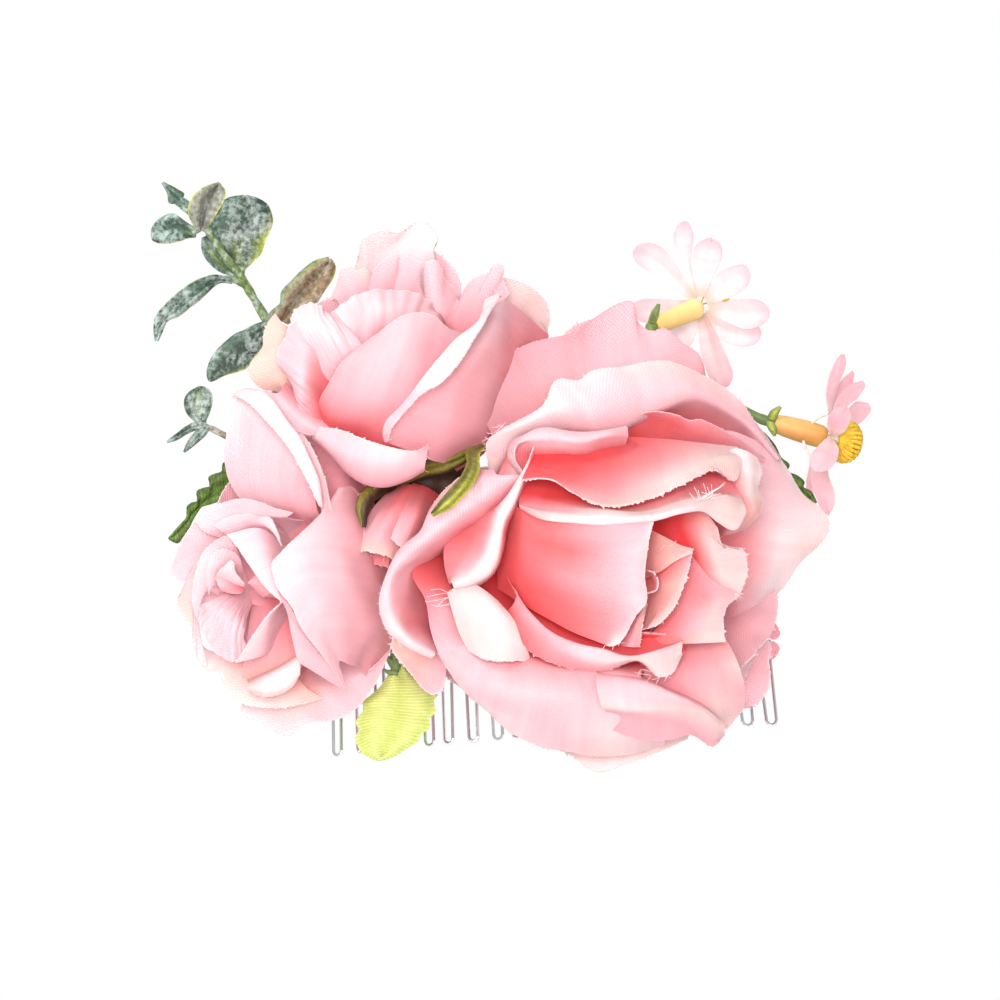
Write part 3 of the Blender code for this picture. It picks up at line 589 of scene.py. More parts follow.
        [(522, 478, 32.4), (497, 500, 31.4), (470, 520, 30.6), (453, 532, 30.6), (444, 546, 30.6), (444, 562, 31), (449, 584, 31.6)],
        [(525, 468, 36), (506, 495, 36), (490, 512, 36), (483, 530, 36), (477, 550, 36), (463, 568, 35.5), (450, 581, 34.6)],
        [(529, 455, 38), (512, 488, 38.6), (500, 510, 38.8), (492, 535, 38.8), (486, 556, 38.4), (472, 573, 37.4), (452, 584, 35.6)],
        [(534, 443, 37.6), (522, 478, 39), (513, 500, 39.4), (503, 520, 39.4), (498, 545, 39), (494, 560, 38.4), (487, 572, 37.8), (470, 582, 36.6), (453, 587, 35.4)],
        [(536, 446, 34.6), (524, 482, 36), (516, 504, 36), (507, 524, 36), (502, 548, 35.6), (497, 564, 35), (488, 577, 34.6), (472, 587, 34), (456, 590, 33)],
    ], ["RRRORK", "KKRRRKC", "WWWWWWW", "WWWWWWW", "OOOORK"], dict(nu=70, nv=44, wrinkle=0.2, edge="")),
    ("left_sliver", [
        [(513, 441, 33.5), (506, 456, 32.5), (495, 480, 32)],
        [(519, 446, 35.4), (514, 460, 35), (508, 476, 34.4)],
        [(523, 470, 35.6), (522, 472, 35.6), (521, 477, 35.4)],
    ], ["XOR", "RRK", "PPP"], dict(nu=16, nv=16, wrinkle=0.1, edge="")),
    # painted shade: a sheet at the back of the heart in the deepest coral all over, standing in for the hollow's shade
    ("cup", [
        [(560, 500, 23), (545, 530, 22), (545, 560, 22), (570, 590, 22), (610, 600, 24)],
        [(560, 450, 29), (520, 480, 29), (480, 530, 27), (465, 570, 26.5), (490, 620, 28), (540, 655, 31), (610, 668, 32), (690, 650, 32)],
        [(560, 442, 31), (530, 455, 32.6), (503, 500, 31.4), (478, 540, 29), (462, 575, 29), (480, 618, 31), (528, 656, 33.6), (600, 672, 35), (690, 660, 34)],
    ], ["XXXXX", "XXXXXX", "XXXXXX"], dict(nu=60, nv=30, wrinkle=0.3, fray=0, edge="")),
    ("right_outer", [
        [(640, 505, 13), (655, 540, 12), (650, 580, 12)],
        [(720, 430, 21), (745, 500, 20.5), (742, 570, 20.5), (728, 630, 20), (700, 670, 20)],
        [(757, 440, 18), (780, 495, 17), (778, 550, 17), (760, 600, 17.5), (742, 640, 18.5), (725, 680, 20)],
        [(770, 447, 16), (783, 463, 14.6), (801, 492, 12.6), (825, 514, 10.6), (829, 526, 10.4), (822, 541, 10.6), (800, 562, 12), (785, 583, 13), (770, 602, 14), (762, 625, 15.4), (752, 660, 17), (738, 690, 18.6)],
    ], ["OOO", "PPKRKKK", "PPWWPP", "CWWCWPPP"], dict(nu=80, nv=40, wrinkle=0.5, edge="W")),
    ("right_fold", [
        [(700, 470, 28), (708, 505, 27.6), (712, 545, 27)],
        [(733, 448, 31.6), (730, 478, 31.8), (738, 503, 31.4), (722, 535, 30.6)],
        [(745, 450, 32), (748, 472, 32.4), (748, 492, 32), (752, 507, 31), (735, 532, 30.4)],
        [(757, 457, 30), (761, 472, 29.6), (757, 487, 29.6), (762, 502, 28.6), (757, 515, 28.6), (746, 527, 29), (737, 531, 29.4)],
    ], ["XOR", "WRRE", "WWCEK", "WWCEEK"], dict(nu=44, nv=32, wrinkle=0.25)),
    ("under_left", [
        [(470, 600, 16), (480, 620, 16), (490, 640, 16)],
        [(402, 625, 23), (425, 640, 26), (447, 655, 27)],
        [(398, 640, 23.6), (420, 665, 25.6), (446, 668, 27)],
        [(394, 637, 23), (392, 646, 23), (400, 660, 23.4), (411, 673, 24), (422, 686, 24.4), (432, 693, 24.8), (441, 689, 25.4), (446, 668, 26.8)],
    ], ["R", "EEK", "eEK", "eEKP"], dict(nu=44, nv=24, wrinkle=0.3, fray=0.2)),
]
LAYER = {"centre": 1, "roll": 2, "over": 2, "bud_1": 1, "bud_2": 1, "bud_curl": 1, "bud_3": 1, "bud_wrap": 1, "right_heart": 2, "right_mid": 2,
         "low_rim": 3, "curl": 3, "left_inner": 3, "left_flap": 3, "cup": 3, "right_low": 4, "top_inner": 4, "left_strip": 4, "left_sliver": 4,
         "bottom_right": 4, "right_fold": 5, "bottom_left": 5, "top": 5, "left_outer": 5, "right_outer": 6, "back": 6, "bottom_back": 6, "under_left": 6}
for i, (name, rows, colours, more) in enumerate(LARGE):
    petal(f"rose_large_{name}", rose, rows, colours, seed=i + 1, replaces=[f"rose_large_petals_{LAYER[name]}"], **more)

# ------------------------------------------------------------------ the upper rose
upper = Sheet("rose_upper_calyx", 413.4, 425.3)
UPPER = [
    ("beige", 4, [
        [(500, 370, 10), (520, 370, 9), (540, 370, 9)],
        [(499, 320, 9), (522, 315, 8), (546, 330, 8)],
        [(498, 277, 8), (515, 281, 7.5), (530, 287, 7.5), (540, 296, 7.5), (546, 303, 7.5), (549, 318, 7.5), (547, 330, 7.5), (548, 342, 8)],
    ], ["B", "BBB", "CBC"], dict(edge="C")),
    ("far", 4, [
        [(380, 400, 10), (400, 400, 9), (420, 400, 9)],
        [(350, 300, 8), (390, 290, 6), (440, 300, 7)],
        [(354, 268, 7), (390, 250, 5), (435, 265, 6)],
        [(356, 262, 7), (362, 242, 6.5), (380, 232, 6), (400, 233, 5.5), (410, 226, 5.5), (420, 222, 5.5), (430, 227, 6), (437, 238, 6), (433, 252, 6.5), (436, 268, 7)],
    ], ["K", "WPW", "WWW", "WWWWW"], dict(wrinkle=0.5, fray=0.1)),
    ("far_left", 4, [
        [(350, 340, 9), (370, 340, 9), (380, 340, 9)],
        [(336, 300, 10), (355, 290, 10), (376, 292, 10)],
        [(329, 302, 9.5), (337, 283, 9.5), (341, 270, 9.5), (350, 267, 9.5), (356, 270, 9.5), (364, 268, 9.5), (371, 278, 9.5), (373, 290, 9.5)],
    ], ["K", "PPK", "CPCP"], dict(edge="C")),
    ("right_back", 3, [
        [(450, 370, 12), (470, 370, 12), (490, 370, 12)],
        [(443, 328, 14), (462, 315, 14.5), (487, 322, 14)],
        [(441, 326, 13.5), (458, 304, 12.5), (463, 292, 12), (470, 282, 12), (480, 275, 12), (490, 272, 12), (491, 267, 12), (497, 263, 12), (503, 267, 12), (502, 278, 12), (508, 294, 12)],
    ], ["R", "RKKP", "KPPP"], dict(wrinkle=0.3)),
    ("tall_right", 3, [
        [(430, 370, 12), (440, 370, 12), (450, 370, 12)],
        [(423, 322, 13), (437, 312, 14.5), (458, 316, 13)],
        [(424, 300, 12), (423, 276, 12), (427, 262, 12), (434, 260, 12), (441, 270, 12), (445, 280, 12), (454, 290, 12), (456, 300, 12.5), (460, 304, 13), (452, 316, 13.5)],
    ], ["O", "KPK", "PPKP"], dict()),
    ("tall_left", 2, [
        [(375, 340, 10), (390, 340, 10), (405, 340, 10)],
        [(369, 294, 12), (384, 285, 13), (401, 294, 12)],
        [(368, 288, 11), (374, 270, 11), (381, 261, 11), (390, 256, 11), (397, 254, 11), (401, 262, 11), (398, 275, 11.5), (393, 285, 12)],
    ], ["K", "PKP", "PPP"], dict()),
    ("tall_mid", 2, [
        [(395, 340, 11), (410, 340, 11), (420, 340, 11)],
        [(394, 292, 13), (410, 288, 13.5), (425, 296, 13)],
        [(397, 276, 12), (400, 258, 12), (407, 256, 12), (416, 260, 12), (421, 262, 12), (420, 275, 12.5), (417, 287, 13), (412, 292, 13)],
    ], ["K", "PKP", "PPP"], dict()),
    ("crown", 2, [
        [(350, 400, 14), (390, 400, 13), (430, 400, 13)],
        [(330, 350, 22), (365, 345, 22), (400, 335, 20), (442, 336, 17)],
        [(333, 325, 22.4), (365, 312, 22), (400, 308, 20), (441, 318, 16.6)],
        [(326, 317, 21), (337, 308, 20.5), (350, 298, 20), (370, 290.5, 19), (388, 289, 18), (400, 290, 17.5), (413, 292, 17), (427, 300, 16), (443, 324, 15)],
    ], ["O", "PKKK", "WPWPPK", "WWPPPP"], dict(wrinkle=0.3, crease=0.55)),
    ("left_fold", 2, [
        [(350, 395, 16), (370, 380, 17), (380, 360, 17)],
        [(322, 388, 21), (345, 364, 23), (363, 347, 23)],
        [(303, 352, 22), (325, 338, 24.5), (350, 330, 23)],
        [(292, 329, 21), (303, 322, 23), (322, 318, 23.4), (338, 318, 22)],
        [(290, 323, 20.5), (293, 311, 20.5), (300, 306, 20.6), (310, 303, 20.6), (318, 306, 20.8), (326, 315, 21), (334, 313, 21)],
    ], ["K", "PPP", "WPWP", "WWP", "WWP"], dict(wrinkle=0.3, crease=0.6)),
    ("left", 3, [
        [(350, 440, 20), (345, 410, 20), (350, 380, 20)],
        [(322, 428, 22), (319, 395, 22.5), (325, 360, 22), (330, 340, 21)],
        [(300, 410, 22), (300, 385, 24.5), (303, 355, 24), (310, 330, 22)],
        [(294, 396, 20), (289, 378, 20), (277, 362, 20), (277, 350, 20.5), (284, 338, 21), (291, 325, 21.5), (303, 322, 22)],
    ], ["X", "OORR", "PPPP", "KPPP"], dict(wrinkle=0.35, crease=0.4)),
    ("cream", 4, [
        [(310, 390, 15), (310, 360, 15), (300, 330, 15)],
        [(285, 393, 17), (280, 360, 17.6), (284, 325, 17)],
        [(296, 398, 16), (278, 391, 16), (262, 388, 16), (254, 382, 16), (248, 371, 16), (252, 360, 16), (262, 348, 16), (263, 335, 16), (268, 322, 16), (275, 314, 16)],
    ], ["E", "eee", "eee"], dict(edge="e", fray=0.1)),
    ("band", 4, [
        [(285, 382, 18), (300, 398, 19), (322, 412, 20), (345, 428, 21)],
        [(275, 393, 21), (290, 410, 22.5), (308, 424, 24), (332, 434, 25)],
        [(262, 389, 20), (266, 397, 20.5), (278, 411, 21.5), (290, 427, 22.5), (303, 433, 23.5), (318, 436, 24.5), (332, 442, 25)],
    ], ["R", "PPP", "PPP"], dict(wrinkle=0.3)),
    ("front", 1, [
        [(330, 445, 21), (360, 455, 22), (400, 460, 23)],
        [(319, 409, 24), (335, 430, 25), (360, 440, 26), (385, 448, 27), (420, 450, 27)],
        [(327, 385, 25.5), (350, 395, 30), (380, 400, 31.5), (410, 400, 31), (442, 395, 28)],
        [(339, 362, 25), (370, 355, 30), (400, 345, 30.5), (430, 345, 28), (462, 342, 24)],
        [(361, 345, 23), (375, 335, 26), (390, 323, 27), (405, 315, 27), (420, 313, 26), (435, 318, 25), (447, 329, 24), (462, 334, 22)],
    ], ["X", "OXOR", "KKKKK", "PPPKK", "PPPP"], dict(wrinkle=0.5, fray=0.1, nu=70, nv=44)),
    ("crescent", 1, [
        [(345, 465, 18), (380, 470, 18), (410, 460, 18)],
        [(312, 439, 23.6), (330, 457, 25.5), (350, 476, 26.5), (365, 484, 27), (385, 486, 27.5), (405, 480, 28), (421, 471, 28)],
        [(315, 435, 27), (340, 449, 30), (365, 462, 31.8), (390, 467, 32.4), (424, 461, 31.6)],
        [(319, 427, 27), (340, 430, 29.4), (360, 438, 31), (385, 446, 32.6), (410, 451, 33), (420, 449, 32.4), (427, 444, 31.4)],
    ], ["R", "KKKK", "PPPP", "PPWP"], dict(wrinkle=0.3, nu=70)),
    ("front_right", 1, [
        [(548, 335, 9), (524, 372, 13), (506, 408, 15), (492, 444, 17), (455, 470, 18)],
        [(520, 311, 15), (508, 350, 20), (490, 400, 24), (484, 434, 23), (447, 463, 23)],
        [(503, 300, 20), (485, 345, 27.5), (458, 392, 30.5), (447, 430, 29.5), (427, 458, 27.5)],
        [(487, 308, 23), (462, 350, 30), (430, 385, 32.6), (402, 412, 33), (391, 444, 31)],
        [(484, 299, 24), (479, 320, 29.5), (455, 338, 32.6), (440, 355, 34), (420, 380, 35.4), (400, 405, 35.6), (385, 420, 34.8), (382, 432, 33.8), (384, 441, 32.4)],
        [(497, 293, 25), (488, 312, 30.2), (473, 337, 33.2), (456, 363, 35.2), (440, 381, 36.2), (420, 393, 36.8), (403, 411, 36.2), (390, 427, 35), (386, 441, 32.8)],
    ], ["R", "KRKKK", "PPKKK", "PPKKK", "WWWWWWPPK", "WWWWWWPPK"], dict(wrinkle=0.3, nu=90, nv=64, fray=0.18)),
]
for i, (name, layer, rows, colours, more) in enumerate(UPPER):
    petal(f"rose_upper_{name}", upper, rows, colours, seed=i + 41, replaces=[f"rose_upper_petals_{layer}"], **{"fray": 0.1, **more})

# ------------------------------------------------------------------ the lower rose
lower = Sheet("rose_lower_calyx", 358.9, 570.4)
LOWER = [
    ("bottom", 4, [
        [(330, 640, 12), (345, 640, 12), (365, 635, 12)],
        [(255, 690, 14), (310, 692, 17), (372, 668, 17)],
        [(240, 706, 13), (246, 716, 13), (262, 722, 13), (275, 731, 13.5), (290, 735, 14), (297, 727, 14.5), (310, 722, 15), (330, 720, 16), (345, 715, 16), (358, 705, 16), (370, 690, 16), (382, 668, 16), (390, 648, 16)],
    ], ["R", "PEKK", "WWWPPPK"], dict(wrinkle=0.5, nu=80)),
    ("bottom_left", 4, [
        [(300, 620, 14), (290, 630, 14), (280, 640, 14)],
        [(215, 650, 16), (248, 664, 17.6), (300, 682, 18)],
        [(196, 640, 15), (200, 660, 16), (207, 670, 16.4), (218, 672, 16.5), (224, 690, 16.5), (240, 702, 17), (262, 707, 17.5), (290, 706, 18), (322, 698, 18)],
    ], ["R", "PEEE", "CCCCe"], dict(wrinkle=0.5, nu=70)),
    ("left", 4, [
        [(300, 560, 13), (290, 585, 13), (300, 610, 13)],
        [(215, 525, 18), (196, 560, 18.5), (200, 612, 18)],
        [(205, 512, 17), (190, 528, 17), (178, 547, 17.5), (172, 562, 18), (171, 572, 18), (178, 580, 18), (187, 582, 18), (181, 592, 17.4), (177, 600, 17), (182, 615, 17), (192, 628, 17), (194, 645, 17), (197, 658, 16.5), (207, 669, 16)],
    ], ["R", "PPP", "PPPPeeWW"], dict(wrinkle=0.4, nu=80)),
    ("top", 4, [
        [(300, 550, 16), (318, 540, 17), (340, 525, 17)],
        [(236, 493, 16), (270, 502, 19), (300, 512, 21.5), (318, 514, 23)],
        [(225, 460, 15.5), (255, 458, 19.5), (285, 470, 22), (314, 492, 24.4)],
        [(227, 425, 14.3), (250, 420, 18), (275, 432, 21.4), (297, 455, 24), (318, 488, 25.8)],
        [(230, 399, 13.6), (245, 396, 17), (262, 402, 20), (285, 425, 23), (303, 455, 26), (320, 500, 26.6)],
        [(236, 391, 15), (250, 388, 18), (262, 393, 21), (284, 418, 25), (296, 435, 26.8), (304, 452, 28.2), (313, 472, 29), (321, 506, 29)],
        [(232, 395, 15.6), (243, 399, 19.4), (257, 411, 23), (275, 431, 25.8), (291, 452, 27.6), (305, 477, 29), (318, 506, 29.4)],
    ], ["O", "KKRR", "PKKR", "WPKKK", "WWPPP", "WWWWW", "WWWWW"], dict(wrinkle=0.4, nu=84, nv=64, fray=0.12)),
    ("top_edge", 3, [
        [(298, 440, 18), (310, 470, 19), (322, 512, 20)],
        [(290, 426, 22), (303, 450, 24.4), (316, 485, 26), (322, 512, 26.4)],
        [(299, 430, 22.4), (311, 448, 24.6), (320, 468, 26.6), (326, 488, 27.6), (330, 510, 27.6)],
    ], ["K", "PPP", "WWP"], dict(nu=44)),
    # painted shade: its tints darken towards the right, into the shadow
    ("gap_face", 3, [
        [(298, 436, 16), (314, 480, 18), (328, 525, 20)],
        [(330, 440, 16), (343, 480, 18), (350, 522, 20)],
        [(345, 462, 13), (368, 488, 13), (376, 532, 15)],
    ], ["RRR", "RRO", "OOD"], dict(edge="O", fray=0)),
    ("ring", 3, [
        [(310, 560, 15), (310, 540, 15), (320, 520, 16)],
        [(205, 532, 20), (238, 516, 22), (285, 517, 23.6)],
        [(196, 522, 18.5), (207, 510, 19), (222, 503, 19.5), (240, 499, 20), (258, 502, 21), (272, 507, 22), (292, 512, 23)],
    ], ["K", "PPP", "WPP"], dict(wrinkle=0.3, nu=60)),
    ("ring_fold", 2, [
        [(270, 560, 16), (280, 552, 16), (290, 540, 17)],
        [(220, 530, 22), (245, 521, 24), (272, 526, 25.6)],
        [(213, 525, 21.5), (228, 517, 23), (245, 514, 24.2), (258, 516, 25.2), (269, 517, 26.2), (276, 530, 27), (280, 545, 27.4)],
    ], ["K", "PPP", "WPW"], dict(wrinkle=0.3)),
    ("heart_left", 2, [
        [(250, 590, 16), (242, 600, 16), (236, 612, 16)],
        [(234, 545, 21.6), (214, 562, 22), (204, 592, 22)],
        [(226, 535, 22.4), (214, 541, 22.6), (203, 550, 22.6), (197, 563, 22.6), (193, 580, 22.6), (191, 600, 22.4), (196, 618, 22)],
    ], ["K", "PPP", "PWP"], dict(wrinkle=0.3)),
    ("heart_in", 1, [
        [(242, 585, 17), (236, 592, 17), (232, 600, 17)],
        [(240, 560, 21.6), (218, 568, 22), (212, 585, 22)],
        [(234, 552, 22), (222, 548, 22.6), (213, 552, 22.6), (208, 562, 22.6), (205, 578, 22.4), (208, 594, 22)],
    ], ["K", "PPP", "PWP"], dict(nu=36, nv=20)),
    ("heart_right", 1, [
        [(226, 592, 18), (234, 594, 18), (242, 592, 18)],
        [(220, 580, 22.6), (232, 585, 23.4), (243, 588, 23)],
        [(215, 574, 23), (222, 567, 23.6), (231, 560, 24), (233, 570, 24.2), (238, 578, 24.2), (243, 584, 24)],
    ], ["K", "RRR", "PWP"], dict(nu=30, nv=18)),
    ("heart_spot", 1, [
        [(214, 577, 22.4), (226, 574, 22.8), (238, 580, 23)],
        [(217, 584, 23.2), (230, 586, 23.6), (243, 588, 23.4)],
        [(222, 590, 22.6), (232, 593, 23), (240, 593, 22.8)],
    ], ["KOX", "KOX", "RR"], dict(nu=20, nv=12, edge="R", fray=0.05)),
    ("heart_low", 2, [
        [(238, 585, 18), (246, 595, 18), (250, 605, 18)],
        [(210, 600, 22), (226, 618, 23.6), (242, 632, 23)],
        [(195, 606, 20.6), (201, 630, 21.4), (213, 650, 22), (232, 660, 22), (246, 648, 23)],
    ], ["K", "PPP", "WPP"], dict(wrinkle=0.6, crease=0.7)),
    ("side_inside", 2, [
        [(252, 600, 14), (272, 595, 15), (292, 600, 16)],
        [(245, 650, 18), (272, 640, 19), (296, 640, 20)],
        [(240, 684, 17), (270, 676, 19), (301, 666, 20)],
    ], ["ROO", "KRO", "EEE"], dict(edge="E")),
    ("side", 2, [
        [(292, 602, 17), (286, 620, 17), (276, 642, 17)],
        [(276, 608, 23), (266, 630, 24.4), (258, 656, 22)],
        [(281, 601, 25), (270, 611, 25.8), (262, 621, 25.8), (253, 634, 25.4), (245, 647, 24.8), (235, 662, 23)],
    ], ["K", "PPP", "WWW"], dict(wrinkle=0.2)),
    ("sweep", 2, [
        [(300, 560, 19), (300, 580, 19), (302, 600, 19)],
        [(256, 528, 24), (269, 560, 26.4), (282, 592, 27.4)],
        [(226, 534, 22.6), (236, 546, 24), (247, 562, 25.4), (257, 577, 26.4), (266, 589, 27), (282, 602, 27.6)],
    ], ["K", "PPP", "WWW"], dict(wrinkle=0.3)),
    ("cream_fold", 3, [
        [(246, 680, 17), (268, 670, 19), (285, 662, 21), (296, 655, 22)],
        [(248, 683, 20), (268, 676, 22), (285, 669, 23.4), (299, 658, 24.4)],
        [(247, 688, 20.6), (265, 690, 22.4), (284, 686, 23.6), (299, 672, 24.6)],
        [(249, 692, 19.4), (264, 696, 21), (281, 693, 22.4), (292, 685, 23.4), (298, 674, 24)],
    ], ["E", "CWC", "CWC", "CCC"], dict(nu=40, nv=24, edge="C")),
    ("front_back", 1, [
        [(300, 600, 24), (310, 630, 24), (330, 670, 23)],
        [(277, 590, 28), (287, 612, 28.4), (291, 635, 28.2), (297, 661, 27)],
        [(290, 606, 29.4), (300, 626, 29.4), (313, 645, 28.4), (335, 670, 27), (344, 690, 25.4)],
    ], ["R", "PPP", "KKR"], dict(nu=44)),
    # the M in its base row is painted coral-brown shade on its right side
    ("front", 1, [
        [(378, 500, 11), (388, 560, 12), (396, 620, 12), (372, 685, 13)],
        [(362, 494, 19), (370, 555, 22), (376, 610, 22), (358, 668, 20)],
        [(350, 486, 23), (338, 560, 29), (343, 610, 29), (348, 664, 25)],
        [(342, 487, 24.6), (308, 560, 31.4), (317, 612, 31.6), (338, 662, 27)],
        [(337, 490, 25), (320, 512, 28), (305, 527, 29.6), (290, 541, 30.6), (281, 550, 31), (271, 562, 31), (272, 575, 31), (278, 590, 31), (290, 606, 31), (300, 626, 31), (315, 647, 30), (330, 667, 28.4), (345, 690, 26)],
    ], ["DMMR", "ORRR", "RKKKR", "KPPPPK", "KWWWWPPPK"], dict(wrinkle=0.55, nu=90, nv=56, fray=0.08)),
]
PALER = str.maketrans("DORK", "RRKP")
for i, (name, layer, rows, colours, more) in enumerate(LOWER):
    petal(f"rose_lower_{name}", lower, rows, [c.translate(PALER) for c in colours], seed=i + 71, replaces=[f"rose_lower_petals_{layer}"], **{"fray": 0.1, **more})

# ------------------------------------------------------------------ the rosebud
bud = Sheet("rosebud_calyx", 437.6, 475.7)
# the dark base rows (M, O, D) of the bud's petals are painted shade at the top of the bud's opening
BUD = [
    ("inside", [
        [(385, 495, 13), (395, 490, 14), (405, 490, 14)],
        [(362, 520, 15), (374, 522, 17), (390, 525, 18)],
        [(350, 553, 15), (358, 558, 17), (372, 563, 18), (388, 566, 18)],
    ], ["M", "RRR", "RRR"], dict(edge="R")),
    ("left", [
        [(393, 487, 14), (410, 485, 17), (428, 492, 15)],
        [(375, 505, 17), (395, 508, 22), (418, 515, 19)],
        [(361, 528, 18), (380, 534, 23), (405, 540, 20)],
        [(348, 549, 18), (354, 551, 19.5), (365, 550, 21.5), (378, 553, 22.5), (388, 556, 22.5), (394, 560, 21.5), (399, 556, 20)],
    ], ["MOD", "KRM", "PKK", "eee"], dict(edge="C", fray=0.2, edge_width=4, wrinkle=0.12)),
    ("right", [
        [(412, 483, 15), (426, 487, 17), (441, 497, 15)],
        [(398, 508, 21), (414, 514, 23), (430, 519, 18)],
        [(390, 538, 22.6), (400, 546, 23), (410, 541, 21.6), (421, 530, 19)],
    ], ["ODD", "KRM", "PKR"], dict(fray=0.1, wrinkle=0.12)),
]
for i, (name, rows, colours, more) in enumerate(BUD):
    petal(f"rosebud_{name}", bud, [[(x, y, d + 4) for x, y, d in row] for row in rows], colours, slot="petal_coral", seed=i + 101, replaces=["rosebud_petals"], **more)

# ------------------------------------------------------------------ leaves and stems
def leaf_skin(name, frost=0.0, ribs=0.0, mottle=0.25, bump=0.4, rough=0.55):
    m, nt, shader = nodes_of(name)
    tint = nt.nodes.new("ShaderNodeVertexColor")
    tint.layer_name = "tint"
    coord = nt.nodes.new("ShaderNodeTexCoord")
    spots = nt.nodes.new("ShaderNodeTexNoise")
    spots.inputs["Scale"].default_value = 1250
    spots.inputs["Detail"].default_value = 4
    spots.inputs["Roughness"].default_value = 0.65
    nt.links.new(coord.outputs["Object"], spots.inputs["Vector"])
    patches = nt.nodes.new("ShaderNodeTexNoise")
    patches.inputs["Scale"].default_value = 330
    patches.inputs["Detail"].default_value = 2
    nt.links.new(coord.outputs["Object"], patches.inputs["Vector"])
    dark = ramp(nt, spots.outputs["Fac"], [(0.35, (1 - mottle,) * 3), (0.65, (1 + mottle * 0.4,) * 3)])
    colour = mix_colour(nt, 1.0, tint.outputs["Color"], dark, "MULTIPLY")
    if frost:
        bloom = math_node(nt, "MULTIPLY", spots.outputs["Fac"], patches.outputs["Fac"])
        veil = ramp(nt, bloom, [(0.20, (0, 0, 0)), (0.36, (frost,) * 3)])
        colour = mix_colour(nt, veil, colour, lin((214, 224, 222)))
    height = spots.outputs["Fac"]
    if ribs:
        uv = nt.nodes.new("ShaderNodeUVMap")
        uv.uv_map = "mm"
        split = nt.nodes.new("ShaderNodeSeparateXYZ")
        nt.links.new(uv.outputs[0], split.inputs[0])
        lines = math_node(nt, "SINE", math_node(nt, "MULTIPLY", split.outputs[0], 2 * math.pi / 0.55))
        rib = math_node(nt, "ADD", math_node(nt, "MULTIPLY", lines, 0.5), 0.5)
        colour = mix_colour(nt, 1.0, colour, ramp(nt, rib, [(0, (1 - ribs,) * 3), (1, (1, 1, 1))]), "MULTIPLY")
        height = math_node(nt, "ADD", height, rib)
    nt.links.new(mix_colour(nt, 1.0, colour, (0.80, 1.0, 0.97), "MULTIPLY"), shader.inputs["Base Color"])
    shader.inputs["Roughness"].default_value = rough
    shader.inputs["Specular IOR Level"].default_value = 0.35
    raised = nt.nodes.new("ShaderNodeBump")
    raised.inputs["Strength"].default_value = bump
    raised.inputs["Distance"].default_value = 0.00015
    nt.links.new(height, raised.inputs["Height"])
    nt.links.new(raised.outputs[0], shader.inputs["Normal"])
    return m


FROSTED = leaf_skin("frosted_leaf", frost=0.55, mottle=0.45)
BRONZE = leaf_skin("bronze_leaf", frost=0.22, mottle=0.4)
LEAF_DARK = leaf_skin("dark_leaf", mottle=0.5, ribs=0.2)
LEAF_LIME = leaf_skin("lime_leaf", mottle=0.08, ribs=0.16, rough=0.7)
OLIVE = leaf_skin("olive_moulding", mottle=0.35, rough=0.5)


def blade(name, sheet, left, mid, right, colours, material, replaces, cup=0.5, nu=40, thickness=0.35, body=BODY, seed=0):
    """A leaf from its two edges and its midrib, each drawn from base to tip."""
    a, m, b = (along([tuple(map(float, p)) for p in line], nu) for line in (left, mid, right))
    rows = [a, a * 0.86 + m * 0.14, a * 0.5 + m * 0.5, m, m * 0.5 + b * 0.5, m * 0.14 + b * 0.86, b]
    for i in (1, 2, 4, 5):
        rows[i] = rows[i] + np.array([0, 0, cup * (1.0 if i in (2, 4) else 0.4)])
    world = [[tuple(sheet(*p)) for p in row] for row in rows]
    grid, where = surface(world, nu, 24)
    colour = tints(colours, where, nu)
    n = normals(grid)
    for j in range(grid.shape[0]):
        for i in range(nu + 1):
            grid[j, i] += n[j, i] * 0.00016 * noise.noise(Vector(grid[j, i]) * 420 + Vector((seed * 2.3, 0, 0)))
    return cloth_piece(name, grid, colour, material, thickness, replaces, body)


def tube_mesh(verts, faces, line, radii, sides):
    """Add a round rod along a line of world points to a vertex and face list."""
    line = [Vector(p) for p in line]
    side = None
    start = len(verts)
    for i, p in enumerate(line):
        ahead = (line[min(i + 1, len(line) - 1)] - line[max(i - 1, 0)]).normalized()
        if side is None:
            side = ahead.orthogonal().normalized()
        side = (side - ahead * side.dot(ahead)).normalized()
        other = ahead.cross(side)
        for s in range(sides):
            t = 2 * math.pi * s / sides
            verts.append(p + (side * math.cos(t) + other * math.sin(t)) * radii[i])
    for i in range(len(line) - 1):
        for s in range(sides):
            a, b = start + i * sides + s, start + i * sides + (s + 1) % sides
            faces.append((a, b, b + sides, a + sides))
    faces.append(tuple(reversed(range(start, start + sides))))
    faces.append(tuple(range(start + (len(line) - 1) * sides, start + len(line) * sides)))


def rods(name, lines, material, replaces=(), body=BODY, sides=8, tint="W", bumpy=0.0):
    """Round rods in one piece. Each line is (points, first radius, last radius, steps), in metres."""
    verts, faces = [], []
    for points, r0, r1, steps in lines:
        path = along([tuple(p) for p in points], steps)
        radii = [r0 + (r1 - r0) * i / steps for i in range(steps + 1)]
        if bumpy:
            radii = [r * (1 + bumpy * noise.noise(Vector(p) * 900)) for r, p in zip(radii, path)]
        tube_mesh(verts, faces, path, radii, sides)
    mesh = bpy.data.meshes.new(name)
    mesh.from_pydata([tuple(v) for v in verts], [], faces)
    layer = mesh.color_attributes.new("tint", "FLOAT_COLOR", "POINT")
    layer.data.foreach_set("color", np.tile(np.array([*TINTS[tint], 1.0], np.float32), len(verts)))
    mesh.uv_layers.new(name="mm")
    mesh.materials.append(material)
    mesh.shade_smooth()
    obj = bpy.data.objects.new(name, mesh)
    bpy.context.scene.collection.objects.link(obj)
    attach(obj, body)
    if replaces:
        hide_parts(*replaces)
    return obj


twig = Sheet("sprig_upper_stem", 290.2, 329.5)


def drawn(sheet, points):
    return [sheet(*p) for p in points]


